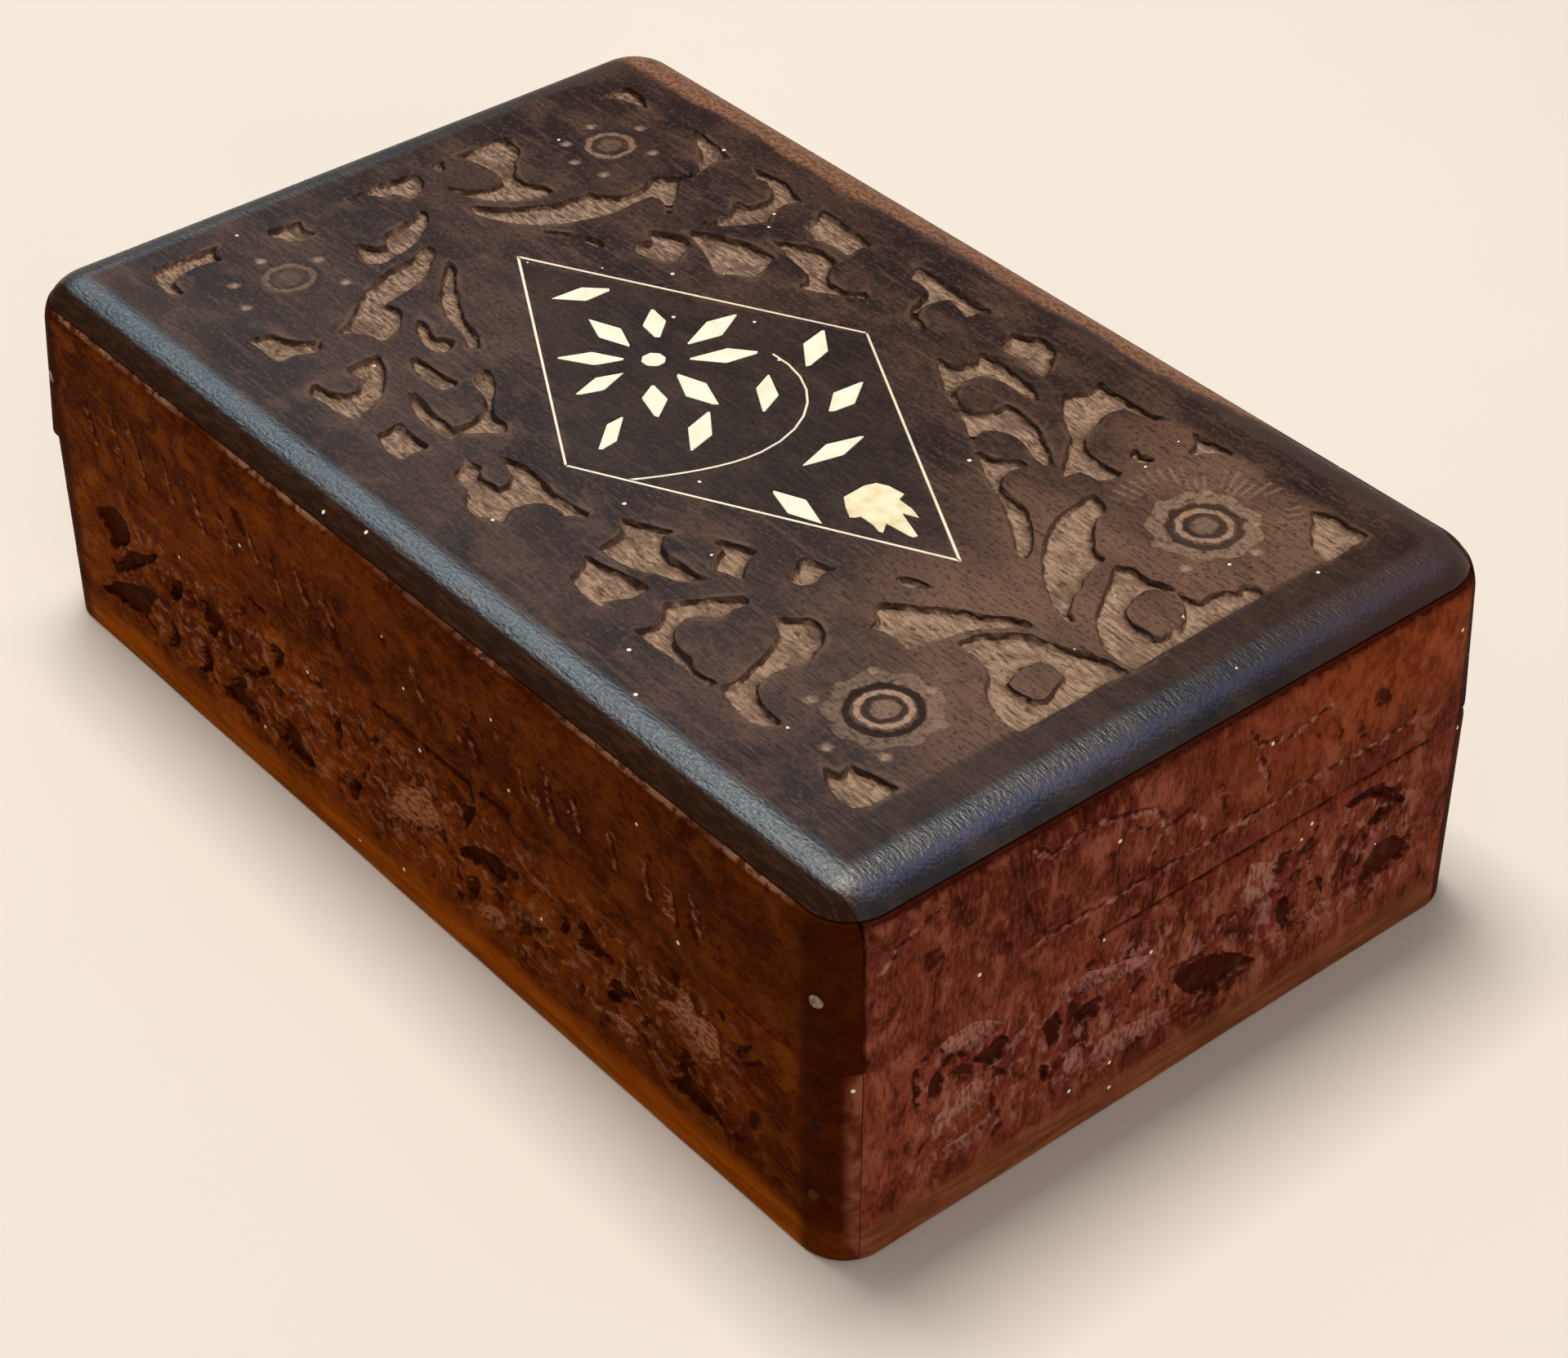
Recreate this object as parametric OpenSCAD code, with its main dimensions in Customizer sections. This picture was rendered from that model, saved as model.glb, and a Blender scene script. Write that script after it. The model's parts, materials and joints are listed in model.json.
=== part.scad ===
// Carved and inlaid wooden box with a hinged lid.
// Millimetres, +Z up. The origin is the centre of the underside, +X runs along
// the long side and +Y points to the hinges.

/* [Box] */
// Length of the box
box_w = 152; // [140:1:170]
// Depth of the box, front to back
box_d = 95; // [88:1:110]
// Height of the tray up to the seam
base_h = 27; // [24:1:40]
// Height of the lid above the seam
lid_h = 22; // [20:1:30]
// Thickness of the four walls
wall_t = 7; // [6:0.5:9]
// Thickness of the front and back wall's lap over the end walls
lap_t = 3.3; // [2.5:0.1:4]
// Plan radius of the tray's upright corners
base_round_r = 5.5; // [3.5:0.5:6.5]
// Radius of the lid's upright corners and of its top edges
lid_round_r = 5.5; // [3.5:0.5:6.5]

/* [Panels] */
// Edge thickness of the lid board that shows above the walls
panel_edge_t = 2.75; // [2.5:0.25:4]
// Depth of the lid board's tongue between the walls
panel_tongue = 2; // [1.5:0.5:3]
// Thickness of the bottom board
bottom_t = 4; // [3:0.5:6]
// Thickness of the velvet lining on the bottom board
lining_t = 1.2; // [0.8:0.2:3]
// Gap around the velvet lining
lining_gap = 0.3; // [0.2:0.1:1]

/* [Carving and inlay] */
// Depth of the ground cut away around the leaves
carve_depth = 0.7; // [0.5:0.1:1.8]
// Width of the brass wire
wire_w = 0.5; // [0.4:0.1:0.8]
// Thickness of the bone and of the wire, let in flush
inlay_t = 0.8; // [0.5:0.1:1.2]
// Radius across the corners of the eight-sided flower centre
flower_r = 1.5; // [1:0.1:2]
// Outer radius of the ring around each rosette's eye
ring_outer_r = 4.3; // [3.5:0.1:5]
// Inner radius of that ring
ring_inner_r = 3.4; // [2.6:0.1:3.4]
// Depth of that ring
ring_depth = 0.5; // [0.3:0.1:1]

/* [Hinges] */
// Distance of each hinge from the middle of the back
hinge_x = 46; // [30:1:48]
// Length of a hinge
hinge_len = 20; // [16:1:22]
// Distance of the pin's axis inside the back face
axis_inset = 0.8; // [0.6:0.1:1.2]
// Radius of the knuckles
knuckle_r = 1.6; // [1.4:0.1:2]
// Radius of the pin
pin_r = 0.8; // [0.6:0.1:1]
// Radial clearance of the pin in the lid leaf's knuckle
pin_play = 0.05; // [0.02:0.01:0.1]
// Thickness of a leaf
leaf_t = 0.8; // [0.6:0.1:1]
// Reach of a leaf from the axis over the rim
leaf_reach = 5.2; // [4.5:0.1:5.4]
// Gap between neighbouring knuckles
knuckle_gap = 0.3; // [0.2:0.1:0.5]
// Angle at which the chamfered back edges meet
stop_angle = 101; // [95:1:115]
// Radius of a screw's countersunk head
screw_head_r = 1.2; // [1:0.1:1.3]
// Radius of a screw's shank
screw_r = 0.6; // [0.5:0.1:0.7]
// Length of a screw
screw_len = 5; // [4:0.5:8]

/* [Corner nails] */
// Radius of a nail's shank
nail_r = 0.5; // [0.4:0.1:0.7]
// Radius of a nail's head
nail_head_r = 0.8; // [0.7:0.1:1]
// Length of a nail
nail_len = 11; // [8:1:14]
// Distance of a nail from the end face
nail_inset = 4; // [3.5:0.5:5]

/* [Hidden] */
$fn = 64;
eps = 0.01;
box_h = base_h + lid_h;
panel_z = box_h - panel_edge_t;
half_w = box_w / 2;
half_d = box_d / 2;
inner_w = box_w - 2 * wall_t;
inner_d = box_d - 2 * wall_t;
far = 2 * box_w;

walnut = [0.33, 0.16, 0.09];
rosewood = [0.36, 0.14, 0.10];
ebonised = [0.17, 0.12, 0.11];
bone = [0.93, 0.90, 0.82];
brass = [0.80, 0.68, 0.42];
velvet = [0.42, 0.05, 0.08];

// ---- hinge geometry ----
axis_y = half_d - axis_inset;
leaf_gap = 0.1;
screw_head_h = 0.6;
screw_slot_w = 0.3;
screw_slot_h = 0.25;
leaf_end_y = axis_y - leaf_reach;
screw_y = axis_y - 3.2;
screw_dx = 6;
knuckle_mid = 7;
knuckle_side = (hinge_len - knuckle_mid) / 2 - knuckle_gap;
notch_play = 0.25;
chamfer_h = axis_inset * tan(stop_angle / 2);

// ---- nails ----
nail_head_h = 0.5;
base_nail_z = [9, 19];
lid_nail_z = [36];

// ---- lid layout, seen from above, from the centre of the lid ----
lozenge = [[-40.2, 0.5], [-0.4, 21.7], [40, -0.1], [-1.3, -21.7]];
flower_at = [-12, -0.9];
// the stem wire: two cubic stretches that share the middle point
stem_a = [[-4.1, 10.4], [4.2, 11.2], [10.6, 5], [10.6, -3.4]];
stem_b = [[10.6, -3.4], [10.6, -8], [8, -13.5], [5.2, -18.4]];
stem_steps = 8;

petals = [
    [[-13.4, 12.9], [-10.9, 8.4], [-12, 3.8], [-14.4, 8.9]],
    [[-5.1, 9.9], [-6, 5.1], [-9.7, 1.9], [-8.4, 7.2]],
    [[-8.2, -0.7], [-4.2, 0.7], [0.6, -1.1], [-3.6, -2.8]],
    [[-8.1, -4.1], [-4.5, -4.7], [-1.9, -8.3], [-6.6, -6.9]],
    [[-12, -5.2], [-10.6, -9.2], [-11.9, -12.7], [-13.3, -8.4]],
    [[-13.9, -3.1], [-15.4, -6.9], [-19.7, -9.6], [-17.9, -5.4]],
    [[-15.7, -1.3], [-19.8, -2.9], [-23.8, -1.4], [-19.7, 0.3]],
    [[-21, 5.9], [-17.6, 5.4], [-14.7, 2], [-18.6, 2.6]],
];

leaves = [
    [[-27.1, 5.1], [-27.1, 0.8], [-30.2, -2.2], [-29.9, 2.2]],
    [[-4.4, 18.6], [-0.4, 15.8], [0.9, 11.3], [-3.5, 14.6]],
    [[7, 14.9], [9.9, 11], [9.5, 7.3], [6.6, 10.6]],
    [[-1.2, 7.5], [3, 5.5], [4.8, 1.7], [0.2, 4.4]],
    [[15.5, 7.9], [16.9, 3.3], [15.6, -1.9], [14, 3.2]],
    [[0.3, -2.4], [4.4, -5.4], [5.5, -9.4], [1.5, -6.6]],
    [[-5, -10.7], [-1.5, -14.4], [-1.1, -17.5], [-4.9, -13.2]],
    [[16.8, -7.2], [20.8, -5.4], [25.5, -7], [21.5, -8.6]],
];

palm = [
    [22.8, 1.2], [23.3, 2.6], [24.6, 3.3], [26.9, 3.6], [27.3, 2.5], [29.6, 2.4],
    [31.5, 1.8], [29.5, 1], [31.8, 0.2], [33.8, -0.5], [33.6, -1.2], [29.8, -1.6],
    [31.3, -3.5], [29.2, -2.9], [27, -2.9], [26.7, -4.1], [24.6, -3], [23, -1.9],
];

rosettes = [[-54.5, 25.5], [52.3, 24.6], [-54, -23.4], [54, -23]];

// outlines of the ground cut away between the leaves, going round the field
grounds = [
    // back left: corner, long leaf, left side
    [[-65.4, 36.8], [-61.2, 36.4], [-58.6, 34.9], [-61.8, 34.3], [-63.4, 33.6], [-65, 31.8]],
    [[-51, 36.6], [-46.5, 36], [-42.2, 35.2], [-42.6, 33], [-42, 30.5], [-41.6, 29],
     [-41.8, 27], [-40, 24.8], [-36.4, 21.1], [-36.7, 20.3], [-38.6, 21.6], [-40.2, 22.1],
     [-41.1, 21.7], [-41.3, 20], [-41, 16.5], [-41.8, 12.5], [-43.2, 9.2], [-45.4, 6.1],
     [-48.8, 3.7], [-52.6, 2.5], [-54, 3.1], [-51.3, 5.6], [-49.2, 8.4], [-47.6, 12],
     [-47, 16.4], [-45.2, 17.4], [-43.7, 19.4], [-43.9, 22.6], [-45.3, 24.5],
     [-43.4, 26.6], [-42.7, 28.6], [-43.8, 31.2], [-46, 33.2], [-49, 34.7]],
    [[-65, 17.2], [-63.8, 16.6], [-60.3, 15.6], [-58.2, 13.4], [-56, 12.1], [-53.5, 12],
     [-51.8, 13.2], [-50, 13.4], [-49.7, 11.6], [-50.6, 8.9], [-52.4, 6.5], [-55.4, 4.4],
     [-59, 3.2], [-61.5, 2.6], [-59.6, 3.9], [-57.2, 5.2], [-55.9, 7.4], [-56.2, 9.6],
     [-58, 10.3], [-61, 10], [-65, 8.8]],
    [[-65, 7.2], [-63, 6], [-62.4, 4.9], [-65, 5]],
    [[-45, 5.2], [-43, 7], [-41, 8.4], [-39, 9.8], [-37.4, 10.6], [-35.2, 10.4],
     [-35.4, 9.4], [-38, 8.8], [-41, 7.2]],
    // back left: leaves beside the lozenge
    [[-39.6, 37], [-37, 36.2], [-34, 37], [-31, 36], [-27.4, 35.4], [-28.8, 34],
     [-28.8, 31.4], [-27.3, 29.2], [-28.2, 27], [-29.6, 24.6], [-31, 23], [-34, 21.2],
     [-32, 23.4], [-31.7, 26], [-33, 28], [-34.2, 29.2], [-31.9, 29.4], [-31.3, 32.2],
     [-32.8, 34], [-34.8, 35], [-36.8, 34], [-38, 35.6]],
    [[-35.3, 16.4], [-33, 18], [-30.8, 18.9], [-29, 18.5], [-28.2, 16.6], [-27.1, 14.9],
     [-28.4, 13.3], [-30.5, 12.4], [-33, 12.2], [-34, 13.6], [-33, 15.1]],
    [[-32.2, 20], [-30, 21.7], [-27, 23.3], [-23.5, 24.3], [-20.4, 24.3], [-19.2, 22.6],
     [-18.9, 21.2], [-18.2, 19.4], [-20.4, 17.9], [-22, 16.7], [-25, 17.5], [-28.6, 19]],
    [[-25.6, 36], [-20, 35.8], [-14.4, 35.2], [-15.2, 34], [-14.9, 31.4], [-18, 31.4],
     [-20.8, 30.6], [-22, 31.4], [-23.8, 31.6], [-24, 33.6], [-24.8, 35]],
    [[-23.8, 26.5], [-21.6, 28], [-19.6, 29.3], [-16.8, 29.8], [-14.8, 29.6], [-13.4, 27],
     [-12, 26], [-10, 25.8], [-8.4, 26.2], [-7.4, 27.7], [-5.5, 26.7], [-8, 25.2],
     [-11, 23.2], [-14, 21.5], [-13.6, 23.6], [-15, 24.8], [-19, 25.5], [-21.8, 26.2]],
    // back middle
    [[-8.2, 36], [-4, 36.4], [0, 36.3], [6.6, 36.3], [5, 35.2], [4.7, 33.2], [2.6, 33.5],
     [0.4, 34], [-0.2, 32.4], [-0.3, 30.2], [0.8, 28.8], [3.3, 28], [3.2, 26.8],
     [0.8, 27.6], [-1, 29], [-1.7, 31], [-2.9, 33.2], [-5, 33.7], [-7, 33.4], [-7.3, 34.6]],
    [[10.2, 34.9], [12, 35.6], [13.8, 37], [16, 36.4], [18.2, 34.4], [20.2, 31],
     [17.4, 31.2], [14.6, 31.6], [11.4, 31.2], [11.4, 33.2]],
    // back right: the ground along the lozenge
    [[8, 24.9], [10, 24.9], [11.6, 25.6], [12.3, 27.4], [10.7, 29.4], [14, 29.7],
     [17.5, 29.3], [20.6, 29], [23.8, 26.8], [20, 27], [16.4, 26.7], [15, 25.9],
     [14.7, 24], [15, 22.2], [16.4, 20.8], [18.4, 20.3], [20.2, 20.9], [20.9, 22.4],
     [21, 24.3], [23.4, 24.6], [26.4, 24], [29.4, 22.6], [32, 20.9], [34.2, 19.3],
     [31, 19.2], [28, 20.3], [25.4, 20.2], [23.4, 18.8], [23.6, 17.2], [25, 15.9],
     [27.2, 15.6], [29, 16.6], [30.2, 17.7], [32.2, 17.9], [31.3, 16.4], [31.3, 14.6],
     [32.6, 12.9], [35, 12.5], [37.6, 12], [40, 10.6], [42.2, 8.8], [44.7, 5.5],
     [43.6, 5.3], [41, 6.8], [37.6, 8.9], [34.4, 10.8], [31.4, 12.1], [28, 13.8],
     [24.6, 15.6], [21, 17.6], [18, 19], [14.6, 20.4], [11.4, 22.4]],
    [[24.2, 35.9], [27, 35.3], [30, 35.5], [33.6, 35.6], [35.2, 36.3], [34.2, 34.4],
     [30.2, 33.8], [29.9, 31], [30.6, 29.4], [31.5, 27], [33.2, 25.2], [36, 24.5],
     [39.4, 24.8], [39.6, 23.2], [38.8, 21.9], [36.4, 21.4], [35.6, 19], [34, 20.6],
     [31.8, 23.4], [30.6, 25], [28.2, 26.3], [25.8, 28.2], [23.6, 30.4], [24.4, 32],
     [24.9, 33.6]],
    [[36.4, 29.8], [38, 28.9], [40, 29.8], [39.8, 28.4], [38.6, 26.9], [37.4, 27.6]],
    [[38, 36.4], [41, 36.9], [46, 36.8], [42.6, 34.6], [42.2, 33], [40.8, 33],
     [40.6, 34.6], [39.6, 35.6]],
    [[57.6, 35.2], [59.2, 36.6], [61, 37], [65, 37], [65.4, 33], [65.4, 29.8],
     [64.2, 30], [62, 31], [60.4, 32.6], [59.4, 34]],
    // right: long leaf and the ground around the bud
    [[39.8, 19.6], [41.6, 19.5], [43.2, 18.7], [44.2, 16.2], [46.2, 14], [48.6, 12.3],
     [50, 12.4], [50.2, 10.4], [51.4, 7.4], [53.2, 4], [56.8, 1.1], [53.4, 1.7],
     [49.8, 3.4], [46, 6.2], [43, 9.4], [41, 13], [40.2, 16.4]],
    [[51.2, 12.2], [52.8, 13.4], [55, 13.2], [57.4, 14], [60, 14.1], [61.6, 14.6],
     [61.4, 16.8], [62.8, 18.8], [62.3, 20.4], [63.6, 21.3], [65.2, 20.8], [65.3, 14],
     [65.4, 8], [65.6, 3], [65.6, 0.9], [62.4, 0.9], [59.6, 1.7], [57, 3.6], [55, 6],
     [53.2, 9.2], [52, 10.8]],
    [[54.2, -3.3], [57, -2.4], [59.6, -1], [62.4, 0], [65.6, 0.4], [65.4, -5],
     [65.6, -10], [65.6, -15], [62.6, -15], [60.4, -14.4], [58, -13], [56.4, -11.2],
     [54.2, -10.2], [51.6, -10], [50.2, -10.4], [50.6, -7.8], [51.8, -5.8]],
    [[53.9, -1.8], [52, -4.2], [50.4, -6.4], [49.4, -9.4], [48.8, -12.6], [48.4, -14.7],
     [45.6, -14.4], [43.6, -14.8], [42.6, -15.4], [42, -13.4], [40.2, -12.4], [40, -11.2],
     [41.8, -9.8], [43.6, -8.2], [46, -6], [49, -4.2], [51.8, -2]],
    // front right
    [[37.7, -7], [38.8, -6.2], [40.4, -5.6], [42, -5.4], [40.8, -6.8], [39.8, -7.6],
     [38, -7.8]],
    [[28.4, -12.6], [30.6, -11.8], [33.2, -10.8], [32.4, -12.4], [33.1, -14],
     [32.8, -15.7], [31.3, -16.5], [29.8, -14.8]],
    [[19, -18.1], [22, -16.6], [24.8, -15.3], [25.3, -17], [26.8, -18.8], [28.4, -20.3],
     [26, -20.7], [24.2, -21.3], [22.8, -19.8], [22.2, -18.2]],
    [[10.3, -22.9], [13.4, -21.6], [16.4, -19.9], [16.2, -21.4], [17.6, -22.8],
     [20, -23.1], [25.4, -22.8], [24, -25.2], [21.6, -26.3], [19.4, -27.6],
     [16.6, -28.3], [13.2, -28.5], [13, -26.4], [12.4, -24.6]],
    [[12.8, -30], [16, -29.7], [20.2, -28.6], [22.6, -28.4], [22.8, -31], [21.8, -33],
     [21.9, -34.7], [18.4, -34.6], [15.4, -34], [14.7, -31.8]],
    [[30, -21.6], [31.6, -22.2], [31.3, -24.2], [31.6, -25.8], [30, -27.6],
     [29.2, -28.9], [29.8, -30.8], [31.6, -32.2], [35, -32.7], [36.4, -33.6],
     [39.7, -33.1], [39.8, -34.5], [34, -34.5], [27, -34.5], [27.9, -32],
     [26.8, -30.2], [25.2, -29.4], [26.6, -27], [28.2, -24.4]],
    [[34.8, -21.8], [36.4, -20], [37.4, -19], [39.4, -18.8], [41.2, -20], [42.4, -22],
     [43.2, -23.8], [42.7, -26], [42.3, -28.8], [43.4, -30.8], [45.2, -31.8],
     [49.2, -32.3], [49, -33.4], [47.2, -34.8], [43.6, -34.5], [40.6, -33.7],
     [40.6, -31.4], [39.8, -28.6], [38.6, -25.4], [37.2, -23.2]],
    [[58.4, -31.4], [61, -30.6], [64.4, -30], [64.7, -33.8], [63.6, -35.8],
     [61.6, -35.8], [58.2, -34.7], [56.8, -33.6], [58.8, -33]],
    // front middle
    [[-7, -25.7], [-4, -25], [0, -25.3], [4, -25.7], [7.6, -25.1], [8.2, -26],
     [6.8, -26.9], [6.2, -28.2], [4.6, -27.4], [2.8, -28], [1.8, -29.6], [1.7, -31.6],
     [3.2, -33.5], [1.2, -34.1], [0.4, -35], [-2.6, -34.7], [-4.2, -33.2],
     [-6.4, -32.6], [-8.2, -32.2], [-8.6, -30.6], [-9.5, -29.5], [-7.2, -28.9],
     [-6.2, -29.9], [-2.6, -29.7], [-2.8, -28.6], [-5, -27], [-6.6, -26.6]],
    [[-23.2, -16.4], [-21.5, -17.1], [-19, -18.3], [-16.8, -20.2], [-14.6, -21.6],
     [-12.2, -21.9], [-10.4, -22.9], [-12.4, -24.9], [-13.9, -27], [-13.2, -28.4],
     [-16, -29], [-20, -28.6], [-23, -27.6], [-25.8, -26], [-22, -26.2],
     [-18.6, -26.8], [-15.6, -26.8], [-15.3, -24.6], [-16.2, -22.4], [-18, -20.8],
     [-21.8, -19.9], [-22.3, -18.4]],
    [[-20.4, -30.9], [-17, -31.2], [-13.8, -30.9], [-14.2, -33], [-13.8, -35],
     [-16.2, -35.3], [-18.6, -34.8], [-20, -34.3], [-20, -32.6]],
    // front left
    [[-33.2, -23.6], [-32.6, -24.8], [-30.5, -25.6], [-28.5, -27], [-26.3, -28.9],
     [-25, -30.6], [-24.2, -33], [-23.5, -34.6], [-25, -34.9], [-28.5, -35.3],
     [-31.8, -35.5], [-33, -34.4], [-32.8, -33.6], [-30.3, -33.3], [-29, -32.4],
     [-28.7, -31], [-30, -29.8], [-30.6, -29.1], [-32.6, -29.5], [-33.4, -29],
     [-33.5, -26]],
    [[-31, -22], [-29, -21.5], [-26, -21.5], [-22.5, -20.8], [-22.2, -23.4],
     [-25, -23.9], [-28.4, -23.4]],
    [[-37, -16.7], [-34.9, -16.6], [-33.4, -17.2], [-32, -17.4], [-31.3, -16.4],
     [-30, -16.2], [-29, -17.2], [-28.8, -19], [-30.2, -19.4], [-32.6, -19.2],
     [-34.8, -18.4]],
    [[-45.2, -6.5], [-44, -6.2], [-41, -8.1], [-37, -10.3], [-33, -12.5], [-29.8, -13.1],
     [-26.6, -14.8], [-27.8, -16], [-30, -14.9], [-33.2, -14.4], [-36, -13.7],
     [-39, -12.1], [-42.4, -9.3]],
    [[-49.6, -6.2], [-48, -6.2], [-46, -7.9], [-44, -10.4], [-42.7, -13.2],
     [-41.7, -17.8], [-39.6, -17.2], [-38.3, -17.8], [-36.4, -19.7], [-35.1, -22.2],
     [-35.6, -23], [-37.4, -23.1], [-39, -24.6], [-40.2, -26], [-41.2, -23.8],
     [-42.3, -22.2], [-44.6, -19.8], [-46.4, -16.3], [-48, -13.2], [-48.3, -9.8],
     [-49.2, -8]],
    [[-57, -1.6], [-55, -2.1], [-52.6, -4.4], [-50.9, -7], [-50, -10], [-49.7, -13],
     [-51, -14.6], [-53.4, -13.9], [-55.9, -12.8], [-54.6, -12], [-53, -11],
     [-52.8, -10.2], [-55, -9], [-55.5, -6]],
    [[-38.9, -28.4], [-38.4, -29.8], [-39.3, -32.4], [-39.4, -34.6], [-43, -34.7],
     [-46.2, -35], [-45.3, -32.8], [-45.2, -31.6], [-43, -31], [-41.2, -29.6],
     [-40.3, -27.8], [-39.7, -28.6]],
    [[-66, -25.7], [-64.8, -26.9], [-62.5, -27], [-63.3, -30.2], [-62.8, -33],
     [-61.8, -34.6], [-58.3, -34.9], [-60, -36.2], [-63.5, -36.1], [-66.2, -35.2],
     [-66, -32]],
    [[-64.3, -15], [-62, -15.6], [-60.4, -14.6], [-60.2, -18.3], [-62.2, -19.2],
     [-64.2, -20], [-65.2, -19], [-64.4, -17]],
    [[-64.8, 2.4], [-62, 2.2], [-60.4, 0.3], [-59, -2.1], [-60.8, -1.8], [-62.4, -2.7],
     [-61.8, -3.4], [-64.4, -5.4], [-64.2, -8], [-65.2, -8], [-65.3, -3]],
];

// buds that stand up as islands inside two of the grounds
buds = [
    [[58.8, 13.7], [60.6, 13], [62.8, 10.8], [63.4, 8.8], [63, 6.7], [60, 6.6],
     [58.4, 7], [57, 9.4], [56.8, 11.8]],
    [[58.3, -5.4], [60, -5.1], [61.6, -5.3], [62.4, -7.2], [63.1, -9.4], [62.6, -10.4],
     [60.2, -10.6], [58.8, -10.4], [58.2, -8.2]],
];

wire_names = ["border_wire_back_left", "border_wire_back_right",
              "border_wire_front_right", "border_wire_front_left"];

// ---- curves and outlines ----
function bezier(p, t) =
    pow(1 - t, 3) * p[0] + 3 * pow(1 - t, 2) * t * p[1]
    + 3 * (1 - t) * pow(t, 2) * p[2] + pow(t, 3) * p[3];

function unit(v) = v / norm(v);
function left_of(v) = [-v[1], v[0]];

// the stem's middle line, then a band of the wire's width around it
stem_line = [
    for (i = [0 : stem_steps]) bezier(stem_a, i / stem_steps),
    for (i = [1 : stem_steps]) bezier(stem_b, i / stem_steps),
];
function line_normal(line, i) =
    left_of(unit(line[min(i + 1, len(line) - 1)] - line[max(i - 1, 0)]));
function band(line, w) = concat(
    [for (i = [0 : len(line) - 1]) line[i] + line_normal(line, i) * w / 2],
    [for (i = [len(line) - 1 : -1 : 0]) line[i] - line_normal(line, i) * w / 2]
);

// a corner of a clockwise outline, moved outwards by d along both its sides
function moved_corner(outline, i, d) =
    let (n = len(outline),
         a = unit(outline[i] - outline[(i + n - 1) % n]),
         b = unit(outline[(i + 1) % n] - outline[i]))
    outline[i] + (left_of(a) + left_of(b)) * d / (1 + a * b);

function wire_outline(i) =
    let (j = (i + 1) % len(lozenge), h = wire_w / 2)
    [moved_corner(lozenge, i, h), moved_corner(lozenge, j, h),
     moved_corner(lozenge, j, -h), moved_corner(lozenge, i, -h)];

// ---- shared cutters ----
// a block of plain size, given by its low and high corners
module block(low, high) {
    translate(low) cube(high - low);
}

// the four corners of a block as long and as deep as the case, inset by r
module at_corners(r) {
    for (sx = [-1, 1], sy = [-1, 1])
        translate([sx * (half_w - r), sy * (half_d - r), 0])
            mirror([sx > 0 ? 0 : 1, 0, 0]) mirror([0, sy > 0 ? 0 : 1, 0])
                children();
}

// what the tray's rounded upright corners take away
module base_waste() {
    r = base_round_r;
    at_corners(r) difference() {
        translate([0, 0, -1]) cube([r + 1, r + 1, base_h + 2]);
        translate([0, 0, -2]) cylinder(r = r, h = base_h + 4);
    }
}

// what the lid's rounded upright corners and top edges take away; the two
// rounds meet in an eighth of a ball at each top corner
module lid_waste() {
    r = lid_round_r;
    z = box_h - r;
    at_corners(r) difference() {
        translate([0, 0, base_h - 1]) cube([r + 1, r + 1, lid_h + 2]);
        translate([0, 0, base_h - 2]) cylinder(r = r, h = z - base_h + 2);
        translate([0, 0, z]) sphere(r = r);
    }
    for (s = [-1, 1]) {
        translate([-half_w + r, s * (half_d - r), z]) difference() {
            translate([0, s > 0 ? 0 : -r - 1, 0]) cube([box_w - 2 * r, r + 1, r + 1]);
            translate([-1, 0, 0]) rotate([0, 90, 0]) cylinder(r = r, h = box_w);
        }
        translate([s * (half_w - r), -half_d + r, z]) difference() {
            translate([s > 0 ? 0 : -r - 1, 0, 0]) cube([r + 1, box_d - 2 * r, r + 1]);
            translate([0, -1, 0]) rotate([-90, 0, 0]) cylinder(r = r, h = box_d);
        }
    }
}

// the chamfers along the back edges at the seam, which stop the open lid
module seam_chamfers() {
    translate([-far / 2, 0, 0]) rotate([90, 0, 90])
        linear_extrude(far)
            polygon([[axis_y, base_h],
                     [half_d + 1, base_h + chamfer_h * (axis_inset + 1) / axis_inset],
                     [half_d + 1, base_h - chamfer_h * (axis_inset + 1) / axis_inset]]);
}

// ---- walls ----
// front or back wall: a full-length skin with a shorter, thicker middle
module long_wall(side, z0, z1) {
    block([-half_w, side > 0 ? half_d - lap_t : -half_d, z0],
          [half_w, side > 0 ? half_d : -half_d + lap_t, z1]);
    block([-inner_w / 2, side > 0 ? inner_d / 2 : -half_d + lap_t - eps, z0],
          [inner_w / 2, side > 0 ? half_d - lap_t + eps : -inner_d / 2, z1]);
}

module end_wall(side, z0, z1) {
    block([side > 0 ? inner_w / 2 : -half_w, -half_d + lap_t, z0],
          [side > 0 ? half_w : -inner_w / 2, half_d - lap_t, z1]);
}

// seats for the hinges in the two back walls
module hinge_seats() {
    for (side = [-1, 1]) {
        translate([side * hinge_x, 0, base_h]) {
            block([-hinge_len / 2, leaf_end_y, -leaf_t - leaf_gap],
                  [hinge_len / 2, axis_y, leaf_t + leaf_gap]);
            block([-hinge_len / 2 - notch_play, axis_y - knuckle_r - notch_play,
                   -knuckle_r - notch_play],
                  [hinge_len / 2 + notch_play, half_d + 1, knuckle_r + notch_play]);
            for (dx = [-1, 1])
                translate([dx * screw_dx, screw_y, -screw_len - leaf_gap])
                    cylinder(r = screw_r, h = 2 * (screw_len + leaf_gap));
        }
    }
}

module base_front_wall() {
    color(walnut) difference() {
        long_wall(-1, 0, base_h);
        base_waste();
        nail_bores(base_nail_z);
    }
}

module base_back_wall() {
    color(walnut) difference() {
        long_wall(1, 0, base_h);
        base_waste();
        seam_chamfers();
        hinge_seats();
        nail_bores(base_nail_z);
    }
}

module base_end_wall(side) {
    color(rosewood) difference() {
        end_wall(side, 0, base_h);
        base_waste();
        nail_bores(base_nail_z);
    }
}

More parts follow.
